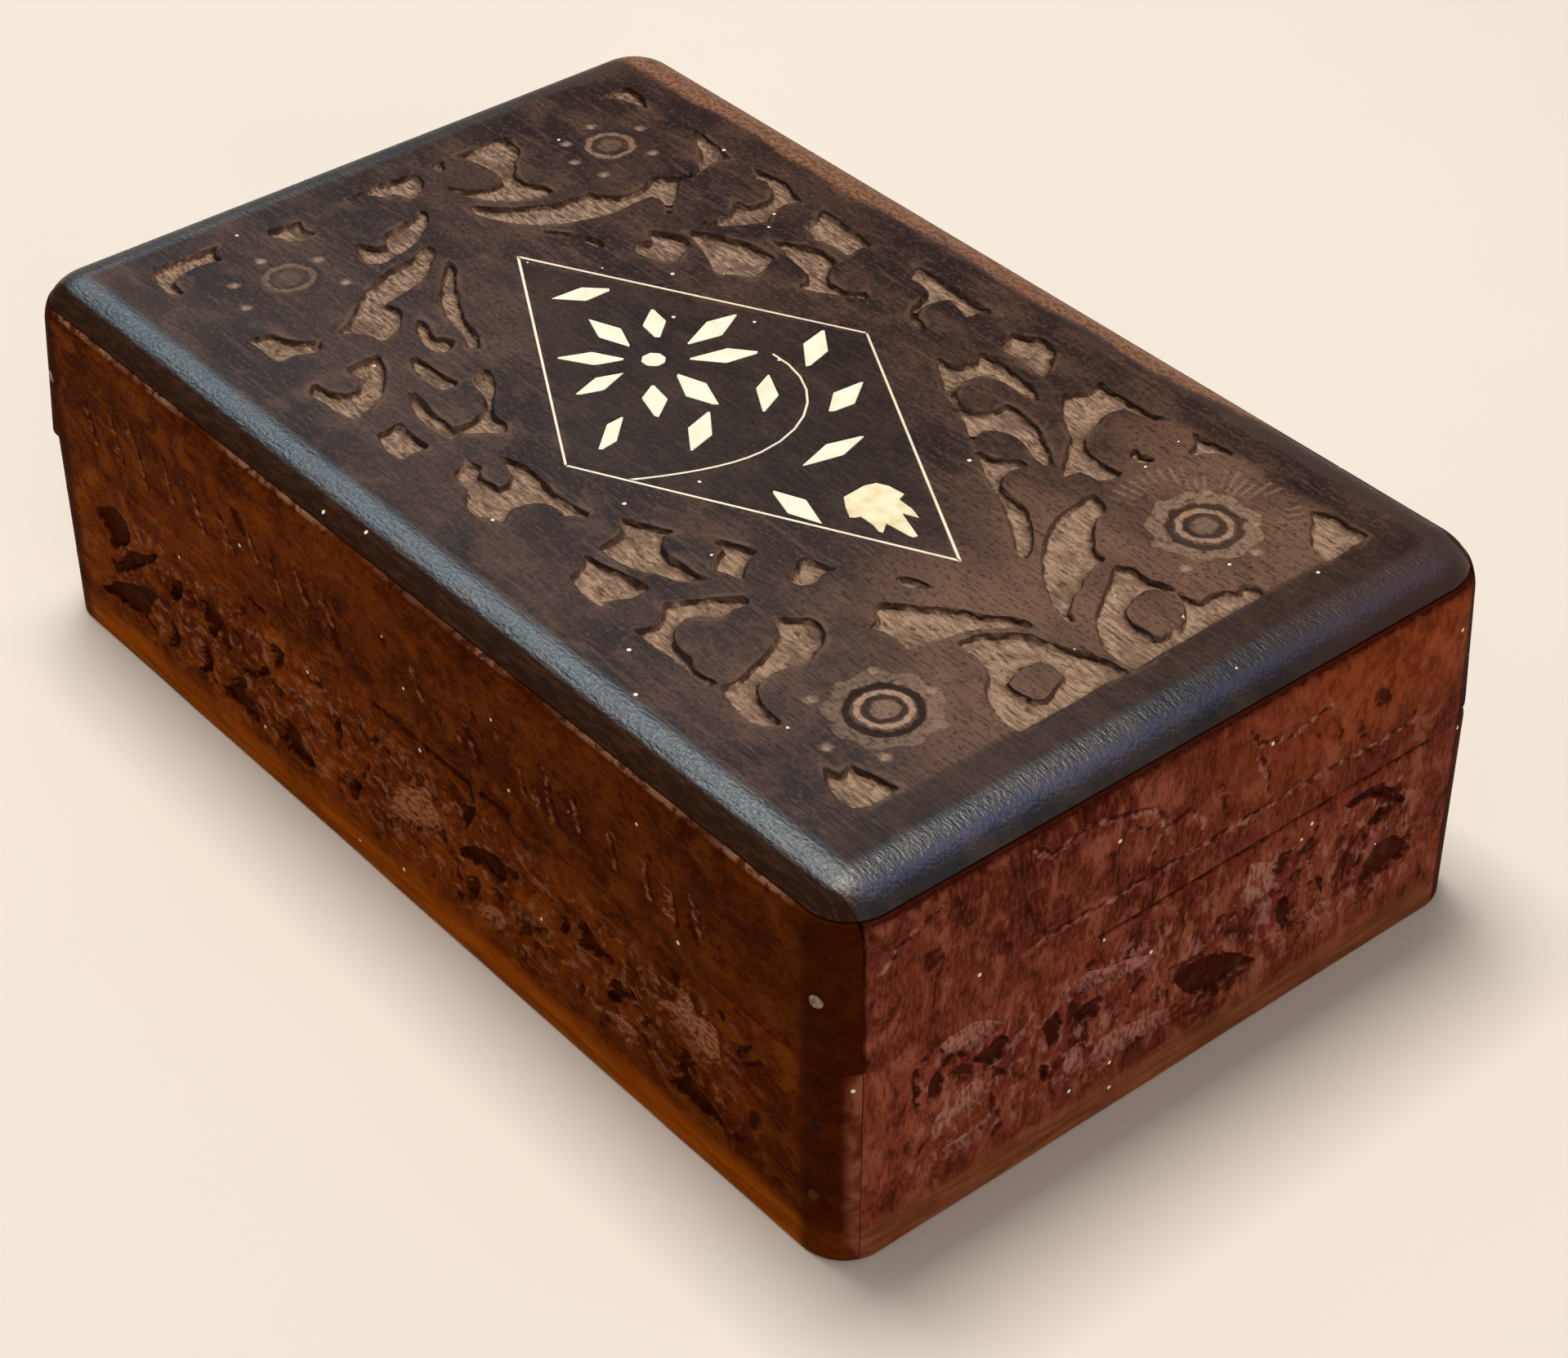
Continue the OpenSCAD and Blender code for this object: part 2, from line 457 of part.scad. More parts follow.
module lid_front_wall() {
    color(walnut) difference() {
        long_wall(-1, base_h, panel_z);
        lid_waste();
        nail_bores(lid_nail_z);
    }
}

module lid_back_wall() {
    color(walnut) difference() {
        long_wall(1, base_h, panel_z);
        lid_waste();
        seam_chamfers();
        hinge_seats();
        nail_bores(lid_nail_z);
    }
}

module lid_end_wall(side) {
    color(rosewood) difference() {
        end_wall(side, base_h, panel_z);
        lid_waste();
        nail_bores(lid_nail_z);
    }
}

// ---- bottom board and lining ----
module base_bottom_panel() {
    color(rosewood)
        block([-inner_w / 2, -inner_d / 2, 0], [inner_w / 2, inner_d / 2, bottom_t]);
}

module base_lining() {
    color(velvet)
        block([-inner_w / 2 + lining_gap, -inner_d / 2 + lining_gap, bottom_t],
              [inner_w / 2 - lining_gap, inner_d / 2 - lining_gap, bottom_t + lining_t]);
}

// ---- corner nails, driven from the front and the back into the end walls ----
// the nails at these heights, each with its head carried out past the face by extra
module nail_bores(heights, extra = 1) {
    for (sx = [-1, 1], sy = [-1, 1], z = heights)
        translate([sx * (half_w - nail_inset), sy * half_d, z])
            rotate([sy * 90, 0, 0]) {
                translate([0, 0, -extra]) cylinder(r = nail_head_r, h = nail_head_h + extra);
                cylinder(r = nail_r, h = nail_len);
            }
}

// the nails themselves, with their heads filed off to the rounded corners
module base_corner_nails() {
    color(brass) difference() {
        nail_bores(base_nail_z, 0);
        base_waste();
    }
}

module lid_corner_nails() {
    color(brass) difference() {
        nail_bores(lid_nail_z, 0);
        lid_waste();
    }
}

// ---- lid board ----
module ground(outline, depth) {
    translate([0, 0, box_h - depth]) linear_extrude(depth + 1) polygon(outline);
}

module ring_groove() {
    translate([0, 0, box_h - ring_depth]) difference() {
        cylinder(r = ring_outer_r, h = ring_depth + 1);
        translate([0, 0, -1]) cylinder(r = ring_inner_r, h = ring_depth + 3);
    }
}

module inlay(outline) {
    translate([0, 0, box_h - inlay_t]) linear_extrude(inlay_t) polygon(outline);
}

module stem_inlay() {
    difference() {
        inlay(band(stem_line, wire_w));
        for (i = [0 : len(lozenge) - 1]) ground(wire_outline(i), inlay_t + 1);
    }
}

module flower_inlay() {
    translate([flower_at[0], flower_at[1], box_h - inlay_t])
        rotate([0, 0, 22.5]) cylinder(r = flower_r, h = inlay_t, $fn = 8);
}

module inlay_seats() {
    for (i = [0 : len(lozenge) - 1]) ground(wire_outline(i), inlay_t);
    for (outline = concat(petals, leaves, [palm])) ground(outline, inlay_t);
    ground(band(stem_line, wire_w), inlay_t);
    flower_inlay();
}

module lid_top_panel() {
    color(ebonised) difference() {
        union() {
            block([-half_w, -half_d, panel_z], [half_w, half_d, box_h]);
            block([-inner_w / 2, -inner_d / 2, panel_z - panel_tongue],
                  [inner_w / 2, inner_d / 2, panel_z + eps]);
        }
        lid_waste();
        difference() {
            for (outline = grounds) ground(outline, carve_depth);
            for (outline = buds) ground(outline, carve_depth + 1);
        }
        for (at = rosettes) translate([at[0], at[1], 0]) ring_groove();
        inlay_seats();
    }
}

module border_wire(i) {
    color(brass) inlay(wire_outline(i));
}

module stem_wire() {
    color(brass) stem_inlay();
}

module flower_centre() {
    color(bone) flower_inlay();
}

module bone_piece(outline) {
    color(bone) inlay(outline);
}

// ---- hinges ----
// a knuckle around the hinge axis, from x0 to x1
module knuckle(x0, x1) {
    translate([x0, axis_y, base_h]) rotate([0, 90, 0])
        cylinder(r = knuckle_r, h = x1 - x0);
}

module axis_bore(r) {
    translate([-hinge_len, axis_y, base_h]) rotate([0, 90, 0])
        cylinder(r = r, h = 2 * hinge_len);
}

// countersunk holes for the leaf's two screws; up is 1 in the tray and -1 in the lid
module leaf_holes(up) {
    for (dx = [-1, 1])
        translate([dx * screw_dx, screw_y, base_h - up * leaf_gap])
            mirror([0, 0, up > 0 ? 0 : 1]) screw_shape();
}

// a countersunk screw, head up at the origin
module screw_shape() {
    translate([0, 0, -screw_head_h])
        cylinder(r1 = screw_r, r2 = screw_head_r, h = screw_head_h);
    translate([0, 0, -screw_len]) cylinder(r = screw_r, h = screw_len - screw_head_h + eps);
}

module screws(side, up) {
    color(brass) translate([side * hinge_x, 0, 0])
        for (dx = [-1, 1])
            translate([dx * screw_dx, screw_y, base_h - up * leaf_gap])
                mirror([0, 0, up > 0 ? 0 : 1])
                    difference() {
                        screw_shape();
                        translate([-screw_head_r - 1, -screw_slot_w / 2, -screw_slot_h])
                            cube([2 * screw_head_r + 2, screw_slot_w, 1]);
                    }
}

module base_leaf(side) {
    color(brass) translate([side * hinge_x, 0, 0]) difference() {
        union() {
            block([-hinge_len / 2, leaf_end_y, base_h - leaf_gap - leaf_t],
                  [hinge_len / 2, axis_y, base_h - leaf_gap]);
            knuckle(-hinge_len / 2, -hinge_len / 2 + knuckle_side);
            knuckle(hinge_len / 2 - knuckle_side, hinge_len / 2);
        }
        block([-hinge_len / 2 + knuckle_side, axis_y - knuckle_r - notch_play, base_h - far],
              [hinge_len / 2 - knuckle_side, half_d + far, base_h + far]);
        axis_bore(pin_r);
        leaf_holes(1);
    }
}

module lid_leaf(side) {
    color(brass) translate([side * hinge_x, 0, 0]) difference() {
        union() {
            difference() {
                block([-hinge_len / 2, leaf_end_y, base_h + leaf_gap],
                      [hinge_len / 2, axis_y, base_h + leaf_gap + leaf_t]);
                for (s = [-1, 1])
                    block([s > 0 ? knuckle_mid / 2 : -hinge_len,
                           axis_y - knuckle_r - notch_play, base_h - far],
                          [s > 0 ? hinge_len : -knuckle_mid / 2, half_d + far, base_h + far]);
            }
            knuckle(-knuckle_mid / 2, knuckle_mid / 2);
        }
        axis_bore(pin_r + pin_play);
        leaf_holes(-1);
    }
}

module hinge_pin(side) {
    color(brass) translate([side * hinge_x - hinge_len / 2, axis_y, base_h])
        rotate([0, 90, 0]) cylinder(r = pin_r, h = hinge_len);
}

// ---- assembly ----
base_front_wall();
base_back_wall();
base_end_wall(-1);  // base_left_wall
base_end_wall(1);  // base_right_wall
base_bottom_panel();
base_lining();
base_corner_nails();
lid_front_wall();
lid_back_wall();
lid_end_wall(-1);  // lid_left_wall
lid_end_wall(1);  // lid_right_wall
lid_top_panel();
lid_corner_nails();
for (i = [0 : 3])
    border_wire(i);
stem_wire();
flower_centre();
for (i = [0 : 7])
    bone_piece(petals[i]);
for (i = [0 : 7])
    bone_piece(leaves[i]);
bone_piece(palm);  // palm_leaf
base_leaf(-1);  // left_hinge_base_leaf
lid_leaf(-1);  // left_hinge_lid_leaf
hinge_pin(-1);  // left_hinge_pin
screws(-1, 1);  // left_hinge_base_screws
screws(-1, -1);  // left_hinge_lid_screws
base_leaf(1);  // right_hinge_base_leaf
lid_leaf(1);  // right_hinge_lid_leaf
hinge_pin(1);  // right_hinge_pin
screws(1, 1);  // right_hinge_base_screws
screws(1, -1);  // right_hinge_lid_screws
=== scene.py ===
"""Looks of a carved and inlaid wooden box with a hinged lid.

The CAD frame holds the case's joinery, hinges and inlay. This script carves the lid board and the
walls as meshes round it, lines the tray and gives every piece its material. Lengths are in
millimetres, in the frame's own axes, until a mesh is made.
"""
import contextlib
import itertools
import json
import math

import bmesh
import bpy
import numpy as np
from mathutils import Matrix, Vector
from mathutils.geometry import tessellate_polygon


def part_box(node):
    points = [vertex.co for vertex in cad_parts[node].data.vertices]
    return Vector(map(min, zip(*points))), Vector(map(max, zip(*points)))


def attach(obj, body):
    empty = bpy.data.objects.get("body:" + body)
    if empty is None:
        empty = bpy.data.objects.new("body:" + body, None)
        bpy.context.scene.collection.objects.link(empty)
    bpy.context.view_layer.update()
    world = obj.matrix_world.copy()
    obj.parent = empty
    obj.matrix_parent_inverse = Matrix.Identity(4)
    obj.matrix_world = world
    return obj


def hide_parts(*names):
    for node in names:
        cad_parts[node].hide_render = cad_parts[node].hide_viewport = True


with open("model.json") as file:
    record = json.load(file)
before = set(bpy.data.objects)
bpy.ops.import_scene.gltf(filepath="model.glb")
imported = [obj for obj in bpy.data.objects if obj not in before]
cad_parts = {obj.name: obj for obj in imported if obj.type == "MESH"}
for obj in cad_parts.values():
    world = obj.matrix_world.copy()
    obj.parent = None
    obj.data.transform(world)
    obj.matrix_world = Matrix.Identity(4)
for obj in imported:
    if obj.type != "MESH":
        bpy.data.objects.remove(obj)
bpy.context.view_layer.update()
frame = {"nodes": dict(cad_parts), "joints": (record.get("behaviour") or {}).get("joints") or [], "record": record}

MM = 0.001


def low(node):
    return np.array(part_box(node)[0]) / MM


def high(node):
    return np.array(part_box(node)[1]) / MM


# ---- sizes read from the frame ----
HALF_W = high("base_right_wall")[0]
HALF_D = -low("base_front_wall")[1]
SEAM_Z = high("base_front_wall")[2]
BOARD_Z = high("lid_front_wall")[2]
TOP_Z = high("lid_top_panel")[2]
TONGUE_Z = low("lid_top_panel")[2]
LAP = HALF_D - high("base_right_wall")[1]
INNER_W = high("base_bottom_panel")[0]
INNER_D = high("base_bottom_panel")[1]
INLAY_Z = low("petal_1")[2]
HINGE_AXIS = np.array(frame["joints"][0]["pos_m"]) / MM

# ---- sizes of the carving and of the wear ----
STEP = 0.4               # spacing of the board's mesh
WALL_STEP = 0.5          # spacing of the walls' mesh
EDGE_ROUND = 5.5         # roundover of the lid's top edges
BOARD_GAP = 0.1          # half the dark line between the board and the walls
CUT_WALL = 0.3           # width of a cut's sloping side on the board
SHARP_TURN = 52          # least turn of a carved outline, in degrees, that is left a corner
CURVE_PARTS = 5          # straight parts in each stretch of a carved outline
SNAP = 0.49              # how far a mesh point is moved onto an edge, in spacings
SHOULDER_WEAR = 0.14     # how far the board is worn down beside its rounded edge
LIP = 0.5                # width of the level lip under the foot of the rounded edge
EDGE_ROWS = np.array([0, 0.08, 0.3, 0.6])   # rows of a wall's mesh next to its foot and top
CORNER_RUN = 9.5         # length of a wall's end on which the mesh closes up to the corner
SEAT_PLAY = 0.06         # gap round each inlaid piece
INLAY_BEVEL = 0.07       # width of its eased top edge
LAP_GAP = 0.35           # open joint at the lid's corner laps
TRAY_LAP_GAP = 0.12      # tight joint at the tray's corner laps
STOP_ANGLE = 101         # angle at which the chamfers along the back seam meet, in degrees
VELVET_STEP = 1.0        # spacing of the velvet's mesh
WELD = 2e-6              # distance within which points are joined after cutting, in metres

# plan radius of each upright corner at the foot, at the seam and at the board,
# for the corners named by the signs of x and y
CORNERS = {
    (-1, -1): (5.3, 3.4, 6.8),
    (1, -1): (5.6, 5.2, 6.2),
    (-1, 1): (5.6, 5.0, 7.0),
    (1, 1): (6.2, 6.0, 8.2),
}


# ---- noise ----
def lattice_value(ix, iy, seed):
    """A fixed pseudo-random number from -1 to 1 for each pair of whole numbers."""
    h = np.sin(ix * 127.1 + iy * 311.7 + seed * 74.7) * 43758.5453
    return 2 * (h - np.floor(h)) - 1


def noise(x, y, size, seed):
    """Smooth noise from about -1 to 1 with features of the given size."""
    gx, gy = x / size, y / size
    ix, iy = np.floor(gx), np.floor(gy)
    fx, fy = gx - ix, gy - iy
    fx, fy = fx * fx * (3 - 2 * fx), fy * fy * (3 - 2 * fy)
    lower = lattice_value(ix, iy, seed) * (1 - fx) + lattice_value(ix + 1, iy, seed) * fx
    upper = lattice_value(ix, iy + 1, seed) * (1 - fx) + lattice_value(ix + 1, iy + 1, seed) * fx
    return lower * (1 - fy) + upper * fy


def rough(x, y, size, seed):
    """Three layers of noise, each half the size and half the height of the one before."""
    return sum(noise(x, y, size / 2**k, seed + k) / 2**k for k in range(3)) / 1.75


# ---- outlines ----
def unit(v):
    return v / np.maximum(np.linalg.norm(v, axis=-1, keepdims=True), 1e-9)


def curved(loop):
    """A smooth curve through the loop's points, sharp where it turns by more than SHARP_TURN."""
    into = unit(loop - np.roll(loop, 1, axis=0))
    out = unit(np.roll(loop, -1, axis=0) - loop)
    turn = np.degrees(np.arccos(np.clip((into * out).sum(1), -1, 1)))
    smooth = unit(into + out)
    sharp = (turn > SHARP_TURN)[:, None]
    leave = np.where(sharp, out, smooth)
    arrive = np.roll(np.where(sharp, into, smooth), -1, axis=0)
    nxt = np.roll(loop, -1, axis=0)
    span = np.linalg.norm(nxt - loop, axis=1, keepdims=True)
    points = []
    for t in np.arange(CURVE_PARTS) / CURVE_PARTS:
        points.append((2 * t**3 - 3 * t**2 + 1) * loop + (t**3 - 2 * t**2 + t) * leave * span
                      + (3 * t**2 - 2 * t**3) * nxt + (t**3 - t**2) * arrive * span)
    return np.stack(points, 1).reshape(-1, 2)


def segment_distance(p, a, b):
    """Distance from each point of p to the nearest of the segments a to b."""
    best = np.full(len(p), 1e9)
    ab = b - a
    size = np.maximum((ab**2).sum(1), 1e-12)
    for start in range(0, len(p), 4096):
        q = p[start:start + 4096]
        t = np.clip(((q[:, None] - a) * ab).sum(2) / size, 0, 1)
        gap = q[:, None] - a - t[..., None] * ab
        best[start:start + 4096] = np.sqrt((gap**2).sum(2).min(1))
    return best


def is_inside(p, a, b):
    """Whether each point of p lies inside the closed outlines made of the segments a to b."""
    inside = np.zeros(len(p), bool)
    rise = b[:, 1] - a[:, 1]
    for start in range(0, len(p), 4096):
        q = p[start:start + 4096]
        crosses = (a[:, 1] > q[:, 1:2]) != (b[:, 1] > q[:, 1:2])
        with np.errstate(divide="ignore", invalid="ignore"):
            at = (b[:, 0] - a[:, 0]) * (q[:, 1:2] - a[:, 1]) / rise + a[:, 0]
        inside[start:start + 4096] = (crosses & (q[:, :1] < at)).sum(1) % 2 == 1
    return inside


def near_points(u, v, outline, reach):
    """Which points lie less than reach outside the box round an outline, and those points."""
    lo, hi = outline.min(0) - reach, outline.max(0) + reach
    near = (u > lo[0]) & (u < hi[0]) & (v > lo[1]) & (v < hi[1])
    return near, np.stack([u[near], v[near]], 1)


def depth_inside(u, v, regions, reach=2.5):
    """Distance to the nearest region's outline, positive inside the region, at least -reach."""
    best = np.full(u.shape, -float(reach))
    for loops in regions:
        a = np.concatenate(loops)
        b = np.concatenate([np.roll(loop, -1, axis=0) for loop in loops])
        near, p = near_points(u, v, a, reach)
        signed = segment_distance(p, a, b) * np.where(is_inside(p, a, b), 1, -1)
        best[near] = np.maximum(best[near], signed)
    return best


def line_distance(u, v, lines):
    """Distance to the nearest of some open lines, at most LINE_REACH."""
    best = np.full(u.shape, LINE_REACH)
    for line in lines:
        near, p = near_points(u, v, line, LINE_REACH)
        best[near] = np.minimum(best[near], segment_distance(p, line[:-1], line[1:]))
    return best


def area(outline):
    """Area of a closed outline, positive where it runs counterclockwise."""
    x, y = outline.T
    return (x * np.roll(y, -1) - np.roll(x, -1) * y).sum() / 2


def mesh_data(node):
    """A CAD node's welded points in millimetres and its triangles."""
    mesh = frame["nodes"][node].data
    mesh.calc_loop_triangles()
    co = np.array([vertex.co for vertex in mesh.vertices]) / MM
    tri = np.array([triangle.vertices for triangle in mesh.loop_triangles])
    co, weld = np.unique(np.round(co, 3), axis=0, return_inverse=True)
    return co, weld.reshape(-1)[tri]


def boundary_loops(tri):
    """The closed chains of edges that only one triangle has, as lists of point numbers."""
    ends = np.concatenate([tri[:, [0, 1]], tri[:, [1, 2]], tri[:, [2, 0]]])
    have = set(map(tuple, ends.tolist()))
    follow = {a: b for a, b in have if (b, a) not in have}
    loops = []
    while follow:
        start = next(iter(follow))
        loop, at = [start], follow.pop(start)
        while at != start:
            loop.append(at)
            at = follow.pop(at)
        loops.append(loop)
    return loops


def level_regions(node, z):
    """Outlines of a CAD node's level faces at height z, each followed by those of its holes."""
    co, tri = mesh_data(node)
    level = tri[(np.abs(co[tri][:, :, 2] - z) < 0.01).all(1)]
    loops = sorted((co[loop][:, :2] for loop in boundary_loops(level)),
                   key=lambda loop: -abs(area(loop)))
    sign = np.sign(area(loops[0]))
    regions = [[loop] for loop in loops if np.sign(area(loop)) == sign]
    for hole in (loop for loop in loops if np.sign(area(loop)) != sign):
        for region in regions:
            if is_inside(hole[:1], region[0], np.roll(region[0], -1, axis=0))[0]:
                region.append(hole)
    return regions


# ---- meshes ----
def snap(u, v, distance, levels, reach):
    """Moves the lattice points that lie within reach of a level of distance onto that level."""
    du, dv = np.gradient(distance)
    step_u, step_v = np.gradient(u)[0], np.gradient(v)[1]
    gu, gv = du / step_u, dv / step_v
    size = np.maximum(gu**2 + gv**2, 0.25)
    for level in levels:
        off = distance - level
        near = np.abs(off) < reach
        near[[0, -1], :] = False
        near[:, [0, -1]] = False
        u[near] -= (off * gu / size)[near]
        v[near] -= (off * gv / size)[near]
        distance = np.where(near, level, distance)
    return distance


def lattice_triangles(shape, key, out=None):
    """Two triangles for each cell, split along the diagonal on which key changes less.

    Cells outside the region, where out is true, are left off."""
    n = np.arange(shape[0] * shape[1]).reshape(shape)
    a, b, c, d = n[:-1, :-1], n[1:, :-1], n[1:, 1:], n[:-1, 1:]
    flat = key.ravel()
    first = np.abs(flat[a] - flat[c]) <= np.abs(flat[b] - flat[d])
    if out is not None:
        gone = out.ravel()
        first = np.where(gone[b] | gone[d], True, np.where(gone[a] | gone[c], False, first))
    tri = np.concatenate([
        np.stack([a, b, c], -1)[first], np.stack([a, c, d], -1)[first],
        np.stack([a, b, d], -1)[~first], np.stack([b, c, d], -1)[~first],
    ])
    if out is not None:
        tri = tri[~gone[tri].any(1)]
    return tri


def fill(points, *loops, axes=(0, 1)):
    """Triangles that fill the loops of point numbers, seen along the axis not named."""
    flat = [[Vector((*(points[i][axis] for axis in axes), 0)) for i in loop] for loop in loops]
    order = [i for loop in loops for i in loop]
    return [[order[k] for k in t] for t in tessellate_polygon(flat)]


def band(lower, upper):
    """Two triangles for each step along two closed loops of point numbers, side by side."""
    faces = []
    for a, b, c, d in zip(lower, np.roll(lower, -1), np.roll(upper, -1), upper):
        faces += [[a, b, c], [a, c, d]]
    return faces


@contextlib.contextmanager
def editing(mesh):
    """A mesh's bmesh, which is written back to the mesh at the end."""
    work = bmesh.new()
    work.from_mesh(mesh)
    yield work
    work.to_mesh(mesh)
    work.free()


def add_object(name, data):
    obj = bpy.data.objects.new(name, data)
    bpy.context.scene.collection.objects.link(obj)
    return obj


def make_mesh(name, points, triangles, marks=None, sharp=38):
    """A mesh object from points in millimetres, outward facing, with a named number per point."""
    used, triangles = np.unique(np.asarray(triangles).reshape(-1), return_inverse=True)
    mesh = bpy.data.meshes.new(name)
    mesh.from_pydata(np.asarray(points)[used] * MM, [], triangles.reshape(-1, 3).tolist())
    for mark, values in (marks or {}).items():
        layer = mesh.attributes.new(mark, "FLOAT", "POINT")
        layer.data.foreach_set("value", np.asarray(values, np.float32)[used])
    with editing(mesh) as work:
        bmesh.ops.recalc_face_normals(work, faces=work.faces)
    mesh.shade_smooth()
    mesh.set_sharp_from_angle(angle=math.radians(sharp))
    return add_object(name, mesh)


# ---- case outline ----
def corner_radius(sx, sy, z):
    """Plan radius of an upright corner at height z."""
    foot, seam, top = CORNERS[(sx, sy)]
    below = foot + (max(seam, 5) - foot) * np.clip(z / SEAM_Z, 0, 1)
    above = seam + (top - seam) * np.clip((z - SEAM_Z) / (BOARD_Z - SEAM_Z), 0, 1)
    return np.where(z <= SEAM_Z, below, above)


def edge_inset(z):
    """How far the lid's rounded top edge lies inside the case's faces at height z."""
    rise = np.clip(z - (TOP_Z - EDGE_ROUND), 0, EDGE_ROUND)
    return EDGE_ROUND - np.sqrt(EDGE_ROUND**2 - rise**2)


def inset_at(x, y):
    """Distance of a point of the board inside the case's outline."""
    inset = np.minimum(HALF_W - np.abs(x), HALF_D - np.abs(y))
    for (sx, sy), (_, _, r) in CORNERS.items():
        dx, dy = sx * x - (HALF_W - r), sy * y - (HALF_D - r)
        corner = (dx > 0) & (dy > 0)
        inset = np.where(corner, r - np.hypot(dx, dy), inset)
    return inset


# ---- lid board ----
# each rosette: its centre, the strength of its dark ring, pale ring, halo and hatching,
# and the punched dots round it
# the dark ring is a groove that is also painted with shade
ROSETTES = [
    ((-54.5, 25.5), 0.25, 0.55, 0.1, 0.0, (
        (-55.5, 31.1), (-49.6, 28.5), (-59.9, 26.5), (-58.4, 21.4), (-54, 19.5), (-49.2, 20.4))),
    ((-54, -23.4), 0.2, 0.3, 0.05, 0.0, (
        (-55.3, -18.4), (-48.9, -18.7), (-59.4, -23.9), (-56.8, -29.4), (-51.7, -31))),
    ((52.3, 24.6), 0.6, 0.8, 0.6, 0.5, (
        (48, 29.3), (55.5, 29), (59.3, 25.4), (51.5, 18.4), (56.5, 17.5))),
    ((54, -23), 0.95, 0.95, 0.4, 0.0, (
        (54.8, -17.3), (59.5, -20.2), (48.5, -19.7), (48, -27.8), (59.8, -28), (54.9, -31.5))),
]
DARK_RING = (3.95, 0.75)  # radius and width of the groove round each rosette's eye
PALE_RING = (2.85, 0.75)  # the ring of pale wood inside it
HALO = (5.3, 1.9)         # the frayed ring of wood rubbed pale outside both
HATCH = (9.2, 4.6)        # the band in which the petals are hatched
HATCH_LINES = 54          # in a full turn
HATCH_FACING = 2.2        # direction of the hatched petals' middle, in radians
DOT = 0.55                # radius of a punched dot


def groove(distance, width, depth):
    """Depth of a round-bottomed groove at a distance from its middle line."""
    return depth * np.clip(1 - (distance / (width / 2)) ** 2, 0, 1)


def board_relief(x, y, cut, seat):
    """Depth of the carving below the board's surface, and where its spots are rubbed pale."""
    gouge = rough(x * 0.6, y, 1.6, 3) * 0.7 + noise(x, y, 0.9, 9) * 0.3
    depth = np.clip(cut / CUT_WALL, 0, 1) * (0.62 + 0.2 * gouge + 0.1 * np.clip(cut / 2, 0, 1))
    rub = np.zeros(x.shape)
    for (cx, cy), dark, _, halo, _, dots in ROSETTES:
        r = np.hypot(x - cx, y - cy)
        depth = np.maximum(depth, groove(r - DARK_RING[0], 1.1, 0.4 * dark))
        depth = np.maximum(depth, groove(r - HALO[0], HALO[1] + 0.6, 0.14 * halo))
        for dx, dy in dots:
            spot = np.hypot(x - dx, y - dy)
            depth = np.maximum(depth, groove(spot, 2 * DOT, 0.3))
            rub = np.maximum(rub, groove(spot, 2.8 * DOT, 1))
    depth = np.where(seat > 0, np.clip(seat / 0.05, 0, 1) * (TOP_Z - INLAY_Z), depth)
    return depth, rub


